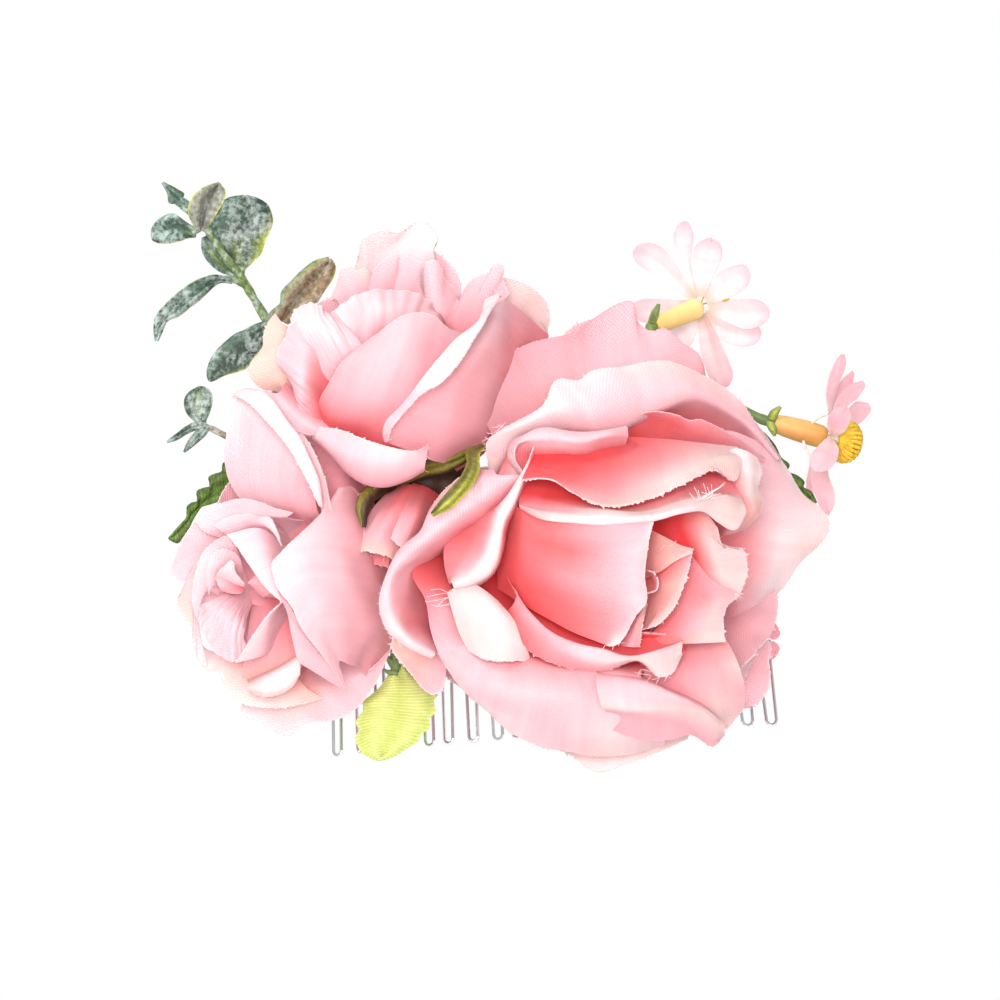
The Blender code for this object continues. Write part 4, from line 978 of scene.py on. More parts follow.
rods("sprig_upper_stem_drawn", [
    (drawn(twig, [(402, 480, 7), (352, 430, 3), (300, 370, 0), (268, 322, -1), (256, 302, -1), (246, 285, -1), (238, 272, -1), (228, 260, -0.5), (214, 240, 0), (205, 226, 0.4), (198, 214, 0), (190, 205, -1)]), 0.00105, 0.00055, 40),
    (drawn(twig, [(246, 285, -1), (238, 281, -0.4), (228, 279, 0.6), (214, 279, 1.8)]), 0.0007, 0.0005, 10),
    (drawn(twig, [(240, 276, -1), (243, 268, -1.4), (243, 262, -2)]), 0.0006, 0.0005, 6),
    (drawn(twig, [(204, 226, 0.4), (197, 231, 0), (190, 233, -1)]), 0.0005, 0.0004, 6),
], FROSTED, ["sprig_upper_stem"], tint="g", bumpy=0.25)
SPRIG = [
    # leaf, left edge, midrib, right edge, tints from the left edge to the right one
    ("4", [(240, 269, -1.6), (222, 248, -3), (210, 226, -4), (216, 208, -5), (230, 198, -5), (244, 196, -5)],
     [(242, 269, -1.6), (233, 245, -3), (236, 222, -3.4), (246, 196, -5)],
     [(244, 269, -1.6), (252, 263, -2), (261, 254, -3), (266, 240, -4), (273, 222, -5), (268, 206, -5.4), (256, 198, -5.4), (246, 196, -5)],
     ["F", "Ff", "Ff", "yFF", "F", "yyFF", "YYYFF"]),
    ("5", [(235, 277, -3), (218, 270, -5), (208, 261, -6), (203, 250, -6.6), (203, 238, -7)],
     [(236, 275, -3), (222, 264, -5), (211, 250, -6), (205, 237, -7)],
     [(238, 272, -3), (226, 258, -4.6), (216, 246, -5.6), (207, 236, -7)], ["f", "f", "f", "y", "f", "f", "f"]),
    ("3", [(198, 231, 1), (191, 221, 2), (188, 209, 3.4), (193, 196, 4), (202, 188, 4), (212, 184, 3), (219, 183, 2)],
     [(201, 231, 1), (203, 213, 2), (209, 197, 2.6), (219, 183, 2)],
     [(203, 231, 1), (211, 222, 2.6), (218, 211, 3.6), (224, 200, 3.6), (225, 191, 3), (219, 183, 2)],
     ["Y", "U", "U", "u", "U", "U", "Y"]),
    ("2", [(196, 228, -1), (184, 221, -2), (173, 214, -3), (160, 219, -4), (153, 228, -5), (152, 237, -5.4)],
     [(196, 233, -1), (178, 231, -2.4), (164, 234, -4), (152, 238, -5.4)],
     [(196, 237, -1), (185, 239, -2.4), (172, 243, -3.4), (160, 243, -4.4), (153, 240, -5.4)],
     ["f", "f", "F", "f", "F", "F", "Y"]),
    ("1", [(194, 218, -0.6), (183, 210, -1.6), (175, 203, -2.4), (170, 203, -3), (168, 193, -3.6), (163, 183, -4)],
     [(193, 212, -0.6), (183, 203, -1.6), (174, 195, -2.6), (163, 183, -4)],
     [(192, 206, -0.6), (187, 200, -1), (182, 197, -2), (184, 194, -2.4), (176, 189, -3), (163, 183, -4)],
     ["y", "F", "f", "F", "f", "F", "y"]),
    ("6", [(232, 279, 0.4), (215, 275, 2.6), (200, 279, 4), (188, 285, 5), (175, 295, 5.4), (163, 307, 5.4), (155, 318, 5), (154, 329, 4.4), (156, 341, 4)],
     [(232, 281, 0.4), (214, 281, 2.4), (200, 290, 4), (186, 301, 4.6), (170, 313, 4.6), (160, 326, 4.2), (156, 341, 4)],
     [(232, 283, 0.4), (219, 283, 2), (211, 289, 3.4), (200, 299, 4.4), (190, 307, 4.8), (178, 316, 4.8), (167, 321, 4.4), (162, 331, 4.2), (157, 341, 4)],
     ["yf", "F", "f", "Ff", "f", "F", "y"]),
    ("7", [(266, 321, 0), (270, 312, 0.6), (280, 303, 1), (281, 292, 1.4), (292, 280, 1.4), (302, 270, 1), (315, 261, 0.4), (329, 258, 0)],
     [(280, 321, -0.4), (294, 303, 0), (312, 281, 0), (330, 260, 0)],
     [(288, 324, -0.6), (300, 317, 0.4), (316, 304, 1), (324, 292, 1), (334, 276, 0.6), (335, 266, 0.2), (330, 259, 0)],
     ["f", "gy", "N", "n", "N", "Nn", "ENY"]),
    ("8", [(270, 320, -0.6), (258, 324, -1), (245, 330, -1.6), (235, 335, -2), (225, 343, -2.4), (215, 353, -2.6), (209, 365, -2.8), (208, 375, -3), (210, 381, -3)],
     [(268, 324, -0.6), (252, 338, -1), (234, 354, -2), (220, 367, -2.6), (210, 381, -3)],
     [(268, 330, -0.6), (264, 343, -1), (255, 357, -1.6), (247, 368, -2), (236, 372, -2.4), (225, 375, -2.8), (216, 379, -3), (210, 381, -3)],
     ["F", "f", "f", "F", "F", "Ff", "Y"]),
]
for leaf, left, mid, right, colours in SPRIG:
    blade(f"sprig_upper_blade_{leaf}", twig, left, mid, right, colours, BRONZE if leaf in ("3", "7") else FROSTED, [f"sprig_upper_leaf_{leaf}"], seed=int(leaf))

twiglet = Sheet("sprig_lower_stem", 283.3, 464.5)
rods("sprig_lower_stem_drawn", [
    (drawn(twiglet, [(360, 512, 4), (320, 486, 1), (280, 462, -1), (250, 446, -1.6), (228, 437, -1), (214, 430, 0), (203, 425, 1)]), 0.0009, 0.0005, 28),
], FROSTED, ["sprig_lower_stem"], tint="N", bumpy=0.25)
for leaf, left, mid, right, colours in (
    ("1", [(200, 424, 0.8), (191, 418, 0.4), (185, 409, 0.2), (185, 399, 0), (190, 392, -0.4), (199, 387, -0.8)],
     [(202, 424, 0.8), (197, 408, 0), (199, 387, -0.8)],
     [(204, 424, 0.8), (209, 414, 0.4), (212, 404, 0.2), (212, 395, 0), (206, 388, -0.4), (199, 387, -0.8)], ["f", "F", "f", "uy", "f", "F", "y"]),
    ("2", [(206, 422, 1), (197, 422, 1.6), (185, 427, 2.4), (176, 435, 3.4), (167, 442, 4)],
     [(206, 425, 1), (188, 429, 2.4), (167, 442, 4)],
     [(206, 428, 1), (197, 429, 1.6), (188, 433, 2.4), (179, 438, 3.4), (167, 442, 4)], ["f", "f", "F", "f", "f", "F", "y"]),
    ("3", [(205, 424, 1), (198, 429, 1.2), (190, 439, 1.6), (184, 452, 2)],
     [(207, 426, 1), (197, 438, 1.6), (184, 452, 2)],
     [(209, 428, 1), (206, 434, 1.4), (197, 442, 1.8), (184, 452, 2)], ["f", "F", "f", "f", "f", "F", "y"]),
):
    blade(f"sprig_lower_blade_{leaf}", twiglet, left, mid, right, colours, FROSTED, [f"sprig_lower_leaf_{leaf}"], seed=20 + int(leaf), nu=28)

# ------------------------------------------------------------------ the three single leaves
side_leaf = Sheet("leaf_left", 221.2, 502.1)
blade("leaf_left_drawn", side_leaf,
      [(262, 490, -1), (250, 482, -1), (243, 474, -1), (238, 467, -1), (231, 461, -1), (223, 463, -1), (222, 471, -1), (214, 474, -1), (209, 477, -1), (212, 485, -1), (203, 488, -1), (197, 491, -1), (199, 500, -1), (191, 503, -1), (187, 507, -1), (190, 514, -1), (183, 523, -1), (176, 531, -1), (169, 538, -1)],
      [(262, 491, -1.4), (240, 482, -2), (215, 493, -2), (198, 508, -2), (169, 539, -1)],
      [(262, 492, -1), (250, 486, -1), (240, 491, -1), (226, 499, -1), (212, 504, -1), (200, 508, -1), (196, 514, -1), (191, 523, -1), (188, 531, -1), (183, 537, -1), (178, 543, -1), (169, 539, -1)],
      ["H", "H", "h", "h", "h", "H", "H"], LEAF_DARK, ["leaf_left"], nu=110, cup=0.4, seed=31)
right_leaf = Sheet("leaf_right", 782.3, 468.9)
blade("leaf_right_drawn", right_leaf,
      [(752, 432, 0), (770, 459, 0), (783, 480, 0), (797, 497, 0), (816, 503, 0)],
      [(756, 431, 0.3), (775, 455, 0.3), (795, 483, 0.3), (816, 503, 0)],
      [(760, 430, 0), (774, 444, 0), (781, 458, 0), (789, 465, 0), (787, 471, 0), (797, 476, 0), (804, 482, 0), (803, 487, 0), (811, 492, 0), (816, 503, 0)],
      ["H", "H", "h", "h", "h", "H", "H"], LEAF_DARK, ["leaf_right"], nu=70, cup=0.4, seed=32)
low_leaf = Sheet("leaf_bottom", 393.6, 713.1)
blade("leaf_bottom_drawn", low_leaf,
      [(394, 664, 10), (387, 678, 10.6), (379, 688, 11), (370, 696, 11.4), (362, 702, 11.4), (364, 709, 11.5), (358, 717, 11.5), (356, 723, 11.5), (359, 730, 11.5), (355, 737, 11.4), (357, 744, 11.4), (361, 752, 11.4), (369, 757, 11.2), (380, 759, 11)],
      [(397, 664, 10), (400, 690, 11.8), (396, 722, 12.2), (380, 759, 11)],
      [(400, 664, 10), (411, 674, 10.8), (424, 684, 11.4), (438, 693, 11.6), (433, 701, 11.8), (435, 711, 11.8), (429, 718, 11.8), (429, 727, 11.8), (421, 733, 11.6), (417, 741, 11.6), (406, 748, 11.4), (393, 756, 11.2), (380, 759, 11)],
      ["l", "L", "l", "L", "l", "L", "l"], LEAF_LIME, ["leaf_bottom"], nu=110, cup=0.5, seed=33)
rods("leaf_bottom_stem_drawn", [
    (drawn(low_leaf, [(425, 560, 4.6), (410, 600, 8), (396, 640, 11), (393, 655, 11), (396, 672, 10.4)]), 0.0005, 0.0006, 16),
    (drawn(low_leaf, [(396, 668, 11), (389, 660, 11.8), (384, 652, 12)]), 0.0009, 0.0002, 8),
    (drawn(low_leaf, [(396, 672, 11), (388, 672, 11.4), (383, 669, 11.6)]), 0.0007, 0.0002, 8),
    (drawn(low_leaf, [(396, 668, 11.2), (394, 658, 12), (392, 650, 12)]), 0.0007, 0.0002, 8),
], OLIVE, ["leaf_bottom_stem"], tint="g", bumpy=0.2)

# ------------------------------------------------------------------ sepals, their dark brown z being painted shade, and a dark mass of painted shade between the roses
blade("sepal_long", bud,
      [(479, 445, 26), (465, 451, 31), (465, 464, 36), (459, 477, 39.4), (449, 489, 40.4), (439, 500, 40.6), (430, 513, 40)],
      [(482, 446, 26), (471, 454, 31.4), (470, 467, 36.4), (464, 480, 39.8), (453, 493, 40.8), (441, 505, 41), (430, 514, 40.2)],
      [(485, 447, 26), (478, 455, 31), (477, 470, 35.6), (471, 483, 39.2), (459, 497, 40.2), (447, 508, 40.4), (431, 515, 40)],
      ["Z", "Z", "Zz", "zY", "Z", "Y", "Y"], OLIVE, [], cup=0.3, nu=40, seed=51, thickness=0.5)
blade("sepal_top", bud,
      [(480, 446, 22), (458, 452, 24), (440, 459, 24), (420, 464, 22), (400, 473, 20), (384, 484, 19)],
      [(480, 449, 22), (458, 458, 24), (440, 465, 24), (420, 470, 22), (402, 479, 20), (384, 486, 19)],
      [(480, 451, 22), (462, 463, 23.6), (444, 472, 23.4), (424, 477, 21.6), (404, 484, 20), (385, 488, 19)],
      ["Z", "Z", "Z", "zZ", "Z", "z", "z"], OLIVE, [], cup=0.4, nu=36, seed=52, thickness=0.5)
blade("sepal_left", bud,
      [(404, 476, 18), (388, 480, 20), (372, 484, 22), (360, 494, 23.4), (356, 508, 24), (361, 524, 24)],
      [(404, 480, 18), (388, 485, 20.4), (375, 490, 22.4), (365, 498, 24), (360, 510, 24.6), (362, 526, 24)],
      [(404, 484, 18), (390, 490, 20), (379, 496, 22), (370, 504, 23.4), (366, 514, 24), (363, 527, 24)],
      ["z", "Z", "Z", "n", "z", "z", "z"], OLIVE, [], cup=0.4, nu=36, seed=53, thickness=0.5)
rods("sepal_spike", [(drawn(bud, [(466, 458, 25), (476, 450, 25.6), (488, 448, 25)]), 0.0006, 0.00012, 10)], OLIVE, tint="Z")
# a dark brown mass behind the bud and under the sepals: painted shade where the roses meet
rods("bud_painted_shade", [
    (drawn(bud, [(378, 492, 11), (400, 484, 13), (425, 482, 14), (452, 486, 13)]), 0.0034, 0.0040, 16),
    (drawn(bud, [(450, 462, 12), (440, 480, 14), (446, 500, 12)]), 0.0028, 0.0030, 12),
], OLIVE, tint="z", sides=16, bumpy=0.25)
rods("leaf_left_stem_drawn", [
    (drawn(side_leaf, [(255, 489, -1.2), (275, 496, -1), (305, 503, 0), (340, 509, 1), (368, 513, 2)]), 0.0005, 0.0006, 16),
], OLIVE, ["leaf_left"], tint="g", bumpy=0.2)
rods("leaf_right_stem_drawn", [
    (drawn(right_leaf, [(757, 437, 0.2), (745, 442, 0.2), (730, 455, 0.6), (712, 470, 1.6)]), 0.0005, 0.0006, 12),
], OLIVE, ["leaf_right"], tint="g", bumpy=0.2)

# ------------------------------------------------------------------ the filler flowers
def filler_petals(node, body, sheet, axis_tilt, centre, d0, petals, first, tint_rows, width_cup=0.7):
    """Petals of one filler flower. They are drawn flat, and the tilt gives each point its depth."""
    right, up = axis_tilt
    cx, cy = centre

    def deep(x, y, lift=0.0):
        return d0 + ((x - cx) * right + (cy - y) * up) / 6 + lift

    for i, (left, mid, rightside, lift) in enumerate(petals):
        lines = []
        for line, cup in ((left, 0.0), (mid, -width_cup), (rightside, 0.0)):
            n = len(line) - 1
            lines.append([(p[0], p[1], (p[2] if len(p) > 2 else deep(p[0], p[1])) + cup * math.sin(math.pi * min(1, j / n * 1.0)) + lift * (j / n)) for j, p in enumerate(line)])
        a, m, b = (along(l, 24) for l in lines)
        rows = [a, a * 0.5 + m * 0.5, m, m * 0.5 + b * 0.5, b]
        world = [[tuple(sheet(*p)) for p in row] for row in rows]
        grid, where = surface(world, 24, 14)
        colour = tints(tint_rows, where, 24)
        n = normals(grid)
        for j in range(15):
            for k in range(25):
                grid[j, k] += n[j, k] * 0.00014 * noise.noise(Vector(grid[j, k]) * 500 + Vector((first + i, 0, 0)))
        cloth_piece(f"{node}_drawn_{i + 1}", grid, colour, FILLER_CLOTH, 0.2, [node], body, declare=False)


FILLER_CLOTH = petal_cloth("filler_cloth", pitch=0.34, bump=0.25, through=0.35)
PISTIL = leaf_skin("stamen_flock", mottle=0.35, bump=0.9, rough=0.85)

up_sheet = Sheet("filler_upper_petals", 713.3, 298.5)
filler_petals("filler_upper_petals", "filler_upper_whorl", up_sheet, (0.55, 0.2), (704, 304), -2.5, [
    ([(694, 304), (668, 283), (650, 272), (638, 264), (633, 252), (638, 245)], [(695, 302), (672, 276), (655, 259), (640, 247)], [(697, 298), (684, 278), (674, 262), (662, 248), (648, 243), (638, 245)], 1.0),
    ([(694, 298), (682, 272), (676, 252), (674, 236), (679, 224), (685, 221)], [(697, 297), (688, 262), (684, 240), (684, 222)], [(700, 297), (692, 270), (691, 252), (693, 236), (689, 224), (685, 221)], 0.6),
    ([(698, 297), (693, 274), (693, 254), (698, 243), (708, 238)], [(702, 297), (703, 272), (707, 254), (712, 239)], [(706, 297), (713, 276), (719, 264), (722, 252), (719, 243), (710, 238)], 0.4),
    ([(704, 298), (711, 284), (718, 274), (730, 267), (744, 265), (749, 271)], [(707, 301), (722, 286), (736, 276), (749, 273)], [(709, 305), (724, 300), (738, 293), (748, 284), (750, 275)], -0.4),
    ([(707, 302), (724, 301), (744, 299), (760, 301), (768, 307)], [(709, 308), (728, 312), (748, 314), (769, 312)], [(708, 314), (724, 321), (744, 329), (758, 327), (768, 318), (769, 311)], -1.2),
    ([(706, 310), (722, 319), (740, 323), (757, 325), (761, 331)], [(707, 315), (724, 330), (742, 335), (761, 334)], [(704, 318), (718, 338), (734, 345), (749, 346), (758, 341), (761, 333)], -1.6),
    ([(706, 312), (717, 334), (724, 350), (730, 365), (733, 375), (729, 386)], [(703, 315), (709, 340), (716, 362), (727, 386)], [(698, 314), (699, 340), (703, 360), (710, 378), (721, 388), (728, 387)], -0.6),
    ([(700, 314), (697, 330), (690, 346), (678, 352), (668, 348)], [(697, 312), (688, 328), (678, 338), (667, 346)], [(693, 310), (676, 322), (666, 332), (664, 342), (667, 347)], 0.6),
    ([(694, 306), (668, 320), (650, 324), (636, 318), (632, 309)], [(692, 303), (670, 311), (652, 312), (633, 306)], [(692, 300), (672, 300), (654, 299), (640, 300), (633, 304)], 0.8),
], 200, ["tWWPP", "tWWWP", "tWWWP", "tWWWP", "tWWPP"])
rods("filler_upper_stamen_drawn", [
    (drawn(up_sheet, [(700, 306, -3), (706, 292, -5), (709, 284, -6)]), 0.00014, 0.00012, 6),
    (drawn(up_sheet, [(709, 285, -3.2), (710, 280, -3.0), (711, 275, -3.2)]), 0.00028, 0.0003, 6),
    (drawn(up_sheet, [(703, 304, -4), (716, 302, -5), (724, 301, -4)]), 0.00014, 0.00012, 6),
    (drawn(up_sheet, [(723, 301, -0.6), (726, 300, -0.4), (729, 299, -0.8)]), 0.00022, 0.00022, 6),
], PISTIL, ["filler_upper_stamen"], tint="A")

right_sheet = Sheet("filler_right_petals", 844.1, 439.7)
filler_petals("filler_right_petals", "filler_right_whorl", right_sheet, (0.0, 0.0), (830, 436), 2.5, [
    ([(829, 424, 2.5), (826, 400, 1), (829, 376, 0), (836, 361, -1), (842, 354, -1.5)], [(831, 424, 1.5), (831, 398, -0.4), (837, 376, -1.4), (843, 355, -1.8)], [(833, 424, 0), (834, 400, -2), (841, 378, -2.8), (846, 362, -2.6), (844, 354, -1.8)], 0),
    ([(832, 426, 0), (833, 398, -3), (842, 380, -5), (853, 371, -6)], [(834, 426, -0.4), (839, 400, -4), (848, 386, -6), (854, 373, -6.6)], [(835, 428, -1), (843, 404, -5), (851, 390, -7), (854, 376, -7)], 0),
    ([(831, 428, 1.6), (836, 402, -1), (848, 386, -3), (863, 381, -4.6)], [(833, 429, 1), (842, 404, -2), (853, 391, -4), (865, 384, -5)], [(834, 430, 0), (848, 406, -3), (858, 398, -5), (865, 387, -5.4)], 0),
    ([(836, 430, -2), (846, 414, -5), (856, 402, -8), (868, 403, -10)], [(836, 432, -2.4), (850, 419, -6), (860, 411, -9), (871, 408, -10.6)], [(836, 434, -3), (850, 428, -6.6), (862, 422, -9.4), (870, 412, -11)], 0),
    ([(830, 436, 4), (827, 426, 8), (829, 414, 11), (837, 407, 13), (844, 406, 14)], [(833, 436, 5), (836, 425, 10), (840, 415, 13), (845, 407, 14.4)], [(836, 436, 4.4), (845, 430, 8), (850, 418, 11.4), (849, 409, 13.4), (845, 406, 14)], 0),
    ([(828, 437, 4), (818, 446, 8), (810, 456, 11), (809, 466, 13), (814, 471, 13.6)], [(830, 439, 5), (825, 450, 10), (821, 461, 13), (817, 471, 14)], [(833, 439, 4), (838, 450, 8), (835, 462, 11.4), (827, 470, 13.4), (818, 472, 13.8)], 0),
    ([(826, 440, 3), (812, 468, 3.4), (812, 486, 3), (818, 502, 2.6), (824, 516, 2)], [(828, 441, 2.6), (821, 470, 2.2), (823, 490, 1.8), (828, 513, 1.6)], [(830, 441, 1), (828, 474, 0.6), (834, 492, 0.6), (834, 505, 0.8), (828, 516, 1.6)], 0),
    ([(826, 438, -1), (812, 460, -5), (807, 480, -7), (807, 493, -8)], [(828, 440, -1.4), (818, 464, -6), (813, 482, -8), (808, 495, -9)], [(830, 441, -2), (826, 466, -7), (820, 486, -9), (810, 496, -9.6)], 0),
], 220, ["GWPPK", "GGPPP", "GGPPK", "GGPPP", "GWPPK"], width_cup=0.2)
# the stamen: a ribbed yellow cushion beyond the petals
heads = []
hub = right_sheet(838, 440, 2.5)
axis_right = (right_sheet(868, 448, -1.6) - hub).normalized()
cross_a = axis_right.orthogonal().normalized()
cross_b = axis_right.cross(cross_a)
for i in range(26):
    t = 2 * math.pi * i / 26
    out = cross_a * math.cos(t) + cross_b * math.sin(t)
    heads.append(([hub + out * 0.0006, hub + out * 0.0027 + axis_right * 0.0006, hub + out * 0.0033 + axis_right * 0.0018, hub + out * 0.0024 + axis_right * 0.0030, hub + out * 0.0008 + axis_right * 0.0034], 0.00042, 0.00034, 14))
rods("filler_right_stamen_drawn", heads, PISTIL, ["filler_right_stamen"], tint="A", sides=6, bumpy=0.3)
rods("filler_right_filaments", [
    (drawn(right_sheet, [(812, 423, 4), (820, 417, 5), (828, 414, 6)]), 0.0002, 0.00016, 8),
    (drawn(right_sheet, [(803, 441, 5), (806, 450, 6), (811, 457, 6.6)]), 0.00026, 0.00018, 8),
    (drawn(right_sheet, [(828, 437, 2), (836, 438, 2), (842, 442, 1.6)]), 0.0005, 0.0008, 8),
], PISTIL, [], tint="t")

low_sheet = Sheet("filler_lower_petals", 751.1, 647.5)
LOW = []
for i in range(7):
    t = math.radians(24 + 360 / 7 * i)
    reach = 30 if i in (0, 6) else 25
    tip = (750 + reach * math.cos(t), 640 - reach * math.sin(t) * 0.95)
    side = (-math.sin(t), -math.cos(t) * 0.95)
    at_ = lambda f, w: (750 + (tip[0] - 750) * f + side[0] * w, 640 + (tip[1] - 640) * f + side[1] * w)
    LOW.append(([at_(0.12, -1.4), at_(0.5, -5.5), at_(0.8, -9.5), at_(1.0, -6), at_(1.02, 0)], [at_(0.12, 0), at_(0.6, 0), at_(1.04, 0)], [at_(0.12, 1.4), at_(0.5, 5.5), at_(0.8, 9.5), at_(1.0, 6), at_(1.02, 0)], 0.4))
filler_petals("filler_lower_petals", "filler_lower_whorl", low_sheet, (-0.9, 0.7), (750, 640), 3.5, LOW, 240, ["PKR", "PKK", "PKR", "PKK", "PKR"], width_cup=0.3)

# ------------------------------------------------------------------ loose threads at the cut edges
def tuft(sheet, start, tips, bow=1.2, radius=0.045):
    """Single threads that leave the cloth at start and end at the tips."""
    lines = []
    for i, (x, y, d) in enumerate(tips):
        sx, sy, sd = start if isinstance(start, tuple) else start[i % len(start)]
        lines.append((drawn(sheet, [(sx, sy, sd), ((sx + x) / 2 + bow * math.sin(i * 2.3), (sy + y) / 2 - bow * math.cos(i * 1.7), (sd + d) / 2 + 0.3), (x, y, d)]), radius * 0.001, radius * 0.0008, 6))
    return lines


THREAD = petal_cloth("thread_cloth", pitch=0.3, bump=0.2, through=0.15, weave_depth=0.04)
loose = []
loose += tuft(rose, [(694, 500, 43), (698, 499, 43), (702, 499, 43), (706, 498, 42.6), (710, 498, 42.2), (714, 498, 41.6)],
              [(688, 492, 44), (693, 486, 44.4), (697, 489, 44.4), (702, 482, 44.4), (706, 486, 44), (710, 483, 44), (724, 483, 43), (716, 487, 43.4), (720, 492, 42.6), (712, 490, 43), (727, 494, 41.6), (700, 491, 44.4)], 1.0, 0.055)
loose += [(drawn(rose, [(700, 499, 43), (708, 493, 43.8), (717, 487, 43.6), (724, 481, 43)]), 0.00009, 0.00006, 10)]
loose += tuft(rose, [(656, 552, 42), (668, 546, 42.5)], [(664, 544, 43.4), (675, 540, 43.6)], 0.6)
loose += tuft(rose, (734, 592, 37.4), [(743, 598, 37.6), (741, 600, 37.2), (737, 601, 37.4)], 0.6)
loose += tuft(rose, [(448, 592, 33.4), (449, 596, 33.6), (452, 602, 34)], [(430, 589, 34.6), (424, 601, 34.8), (430, 604, 34.6), (426, 596, 35), (436, 606, 34.6)], 2.4, 0.06)
loose += tuft(rose, [(384, 596, 35), (385, 606, 34.6), (387, 618, 34), (391, 628, 33.6), (397, 637, 33)],
              [(377, 592, 35.4), (376, 602, 35), (378, 612, 34.6), (381, 622, 34.2), (386, 632, 33.8), (393, 642, 33.2), (379, 584, 35.4), (401, 648, 32.4), (389, 638, 33.6), (383, 627, 34.4)], 0.8, 0.05)
loose += tuft(rose, [(487, 438, 33.6), (487, 448, 33), (493, 432, 33.6), (503, 426, 33.4)],
              [(481, 441, 34), (481, 450, 33.6), (486, 432, 34.2), (497, 424, 34), (484, 436, 34.2), (482, 456, 33.4), (505, 421, 33.8), (491, 427, 34)], 0.6, 0.05)
loose += tuft(rose, [(640, 668, 42.4), (650, 674, 42), (659, 675, 42), (668, 672, 41.6)],
              [(637, 674, 43), (645, 681, 42.6), (655, 683, 42.4), (663, 680, 42.2), (671, 677, 41.8), (633, 671, 43), (650, 679, 42.6)], 0.6, 0.05)
loose += tuft(rose, [(520, 742, 30), (545, 746, 29.4), (600, 770, 24), (575, 757, 24.6)], [(518, 748, 30), (543, 752, 29.4), (601, 776, 24), (572, 762, 24.6)], 0.6)
loose += tuft(rose, [(829, 524, 10.6), (822, 541, 10.8), (811, 552, 11.4)], [(833, 529, 10.6), (826, 547, 10.8), (815, 558, 11.4), (830, 536, 10.6), (806, 563, 11.8)], 0.8, 0.05)
loose += tuft(rose, [(604, 644, 45), (612, 643, 45.4), (621, 637, 45.8)], [(601, 649, 45.4), (611, 649, 45.4), (617, 645, 45.8), (624, 641, 46)], 0.5)
rods("rose_large_threads", loose, THREAD, tint="W", sides=4)
loose = tuft(upper, [(426, 447, 31.6), (424, 455, 31.2), (421, 466, 29)], [(431, 449, 32), (430, 459, 31.4), (427, 472, 29), (430, 454, 31.8)], 0.6)
loose += tuft(upper, [(489, 299, 25.6), (497, 294, 25)], [(484, 294, 26), (493, 289, 25.6), (502, 290, 25), (488, 304, 27)], 0.6)
loose += tuft(bud, [(356, 552, 20), (370, 552, 22.4), (384, 556, 23)], [(353, 557, 20.4), (369, 558, 22.8), (382, 562, 23.2), (391, 566, 22), (361, 556, 21.6)], 0.6, 0.05)
loose += tuft(bud, [(360, 500, 22), (372, 492, 21), (384, 488, 20)], [(352, 488, 23), (362, 484, 23), (366, 496, 24), (378, 484, 23.4), (357, 494, 24)], 1.5, 0.04)
rods("small_threads", loose, THREAD, tint="W", sides=4)


# ------------------------------------------------------------------ moulded parts drawn again more finely
def plain_skin(name, colour, mottle=0.12, bump=0.4, scale=500, rough=0.5, metal=0.0, coat=0.0, distance=0.00012):
    m, nt, shader = nodes_of(name)
    coord = nt.nodes.new("ShaderNodeTexCoord")
    spots = nt.nodes.new("ShaderNodeTexNoise")
    spots.inputs["Scale"].default_value = scale
    spots.inputs["Detail"].default_value = 4
    nt.links.new(coord.outputs["Object"], spots.inputs["Vector"])
    base = lin(colour)
    dark = tuple(v * (1 - mottle) for v in base)
    nt.links.new(ramp(nt, spots.outputs["Fac"], [(0.35, dark), (0.65, base)]), shader.inputs["Base Color"])
    shader.inputs["Metallic"].default_value = metal
    shader.inputs["Roughness"].default_value = rough
    shader.inputs["Coat Weight"].default_value = coat
    shader.inputs["Coat Roughness"].default_value = 0.2
    raised = nt.nodes.new("ShaderNodeBump")
    raised.inputs["Strength"].default_value = bump
    raised.inputs["Distance"].default_value = distance
    nt.links.new(spots.outputs["Fac"], raised.inputs["Height"])
    nt.links.new(raised.outputs[0], shader.inputs["Normal"])
    return m


def turned_along(name, sheet, a, b, profile, material, replaces, sides=28):
    """A round moulding from a to b (sheet points); profile is (share of the length, radius in mm)."""
    start, stop = sheet(*a), sheet(*b)
    shape = along([(s * 10, r, 0.0) for s, r in profile], 40)
    verts, faces = [], []
    line = [start.lerp(stop, s / 10) for s in shape[:, 0]]
    tube_mesh(verts, faces, line, [r * 0.001 for r in shape[:, 1]], sides)
    mesh = bpy.data.meshes.new(name)
    mesh.from_pydata([tuple(v) for v in verts], [], faces)
    mesh.materials.append(material)
    mesh.shade_smooth()
    obj = bpy.data.objects.new(name, mesh)
    bpy.context.scene.collection.objects.link(obj)
    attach(obj, BODY)
    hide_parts(*replaces)
    return obj


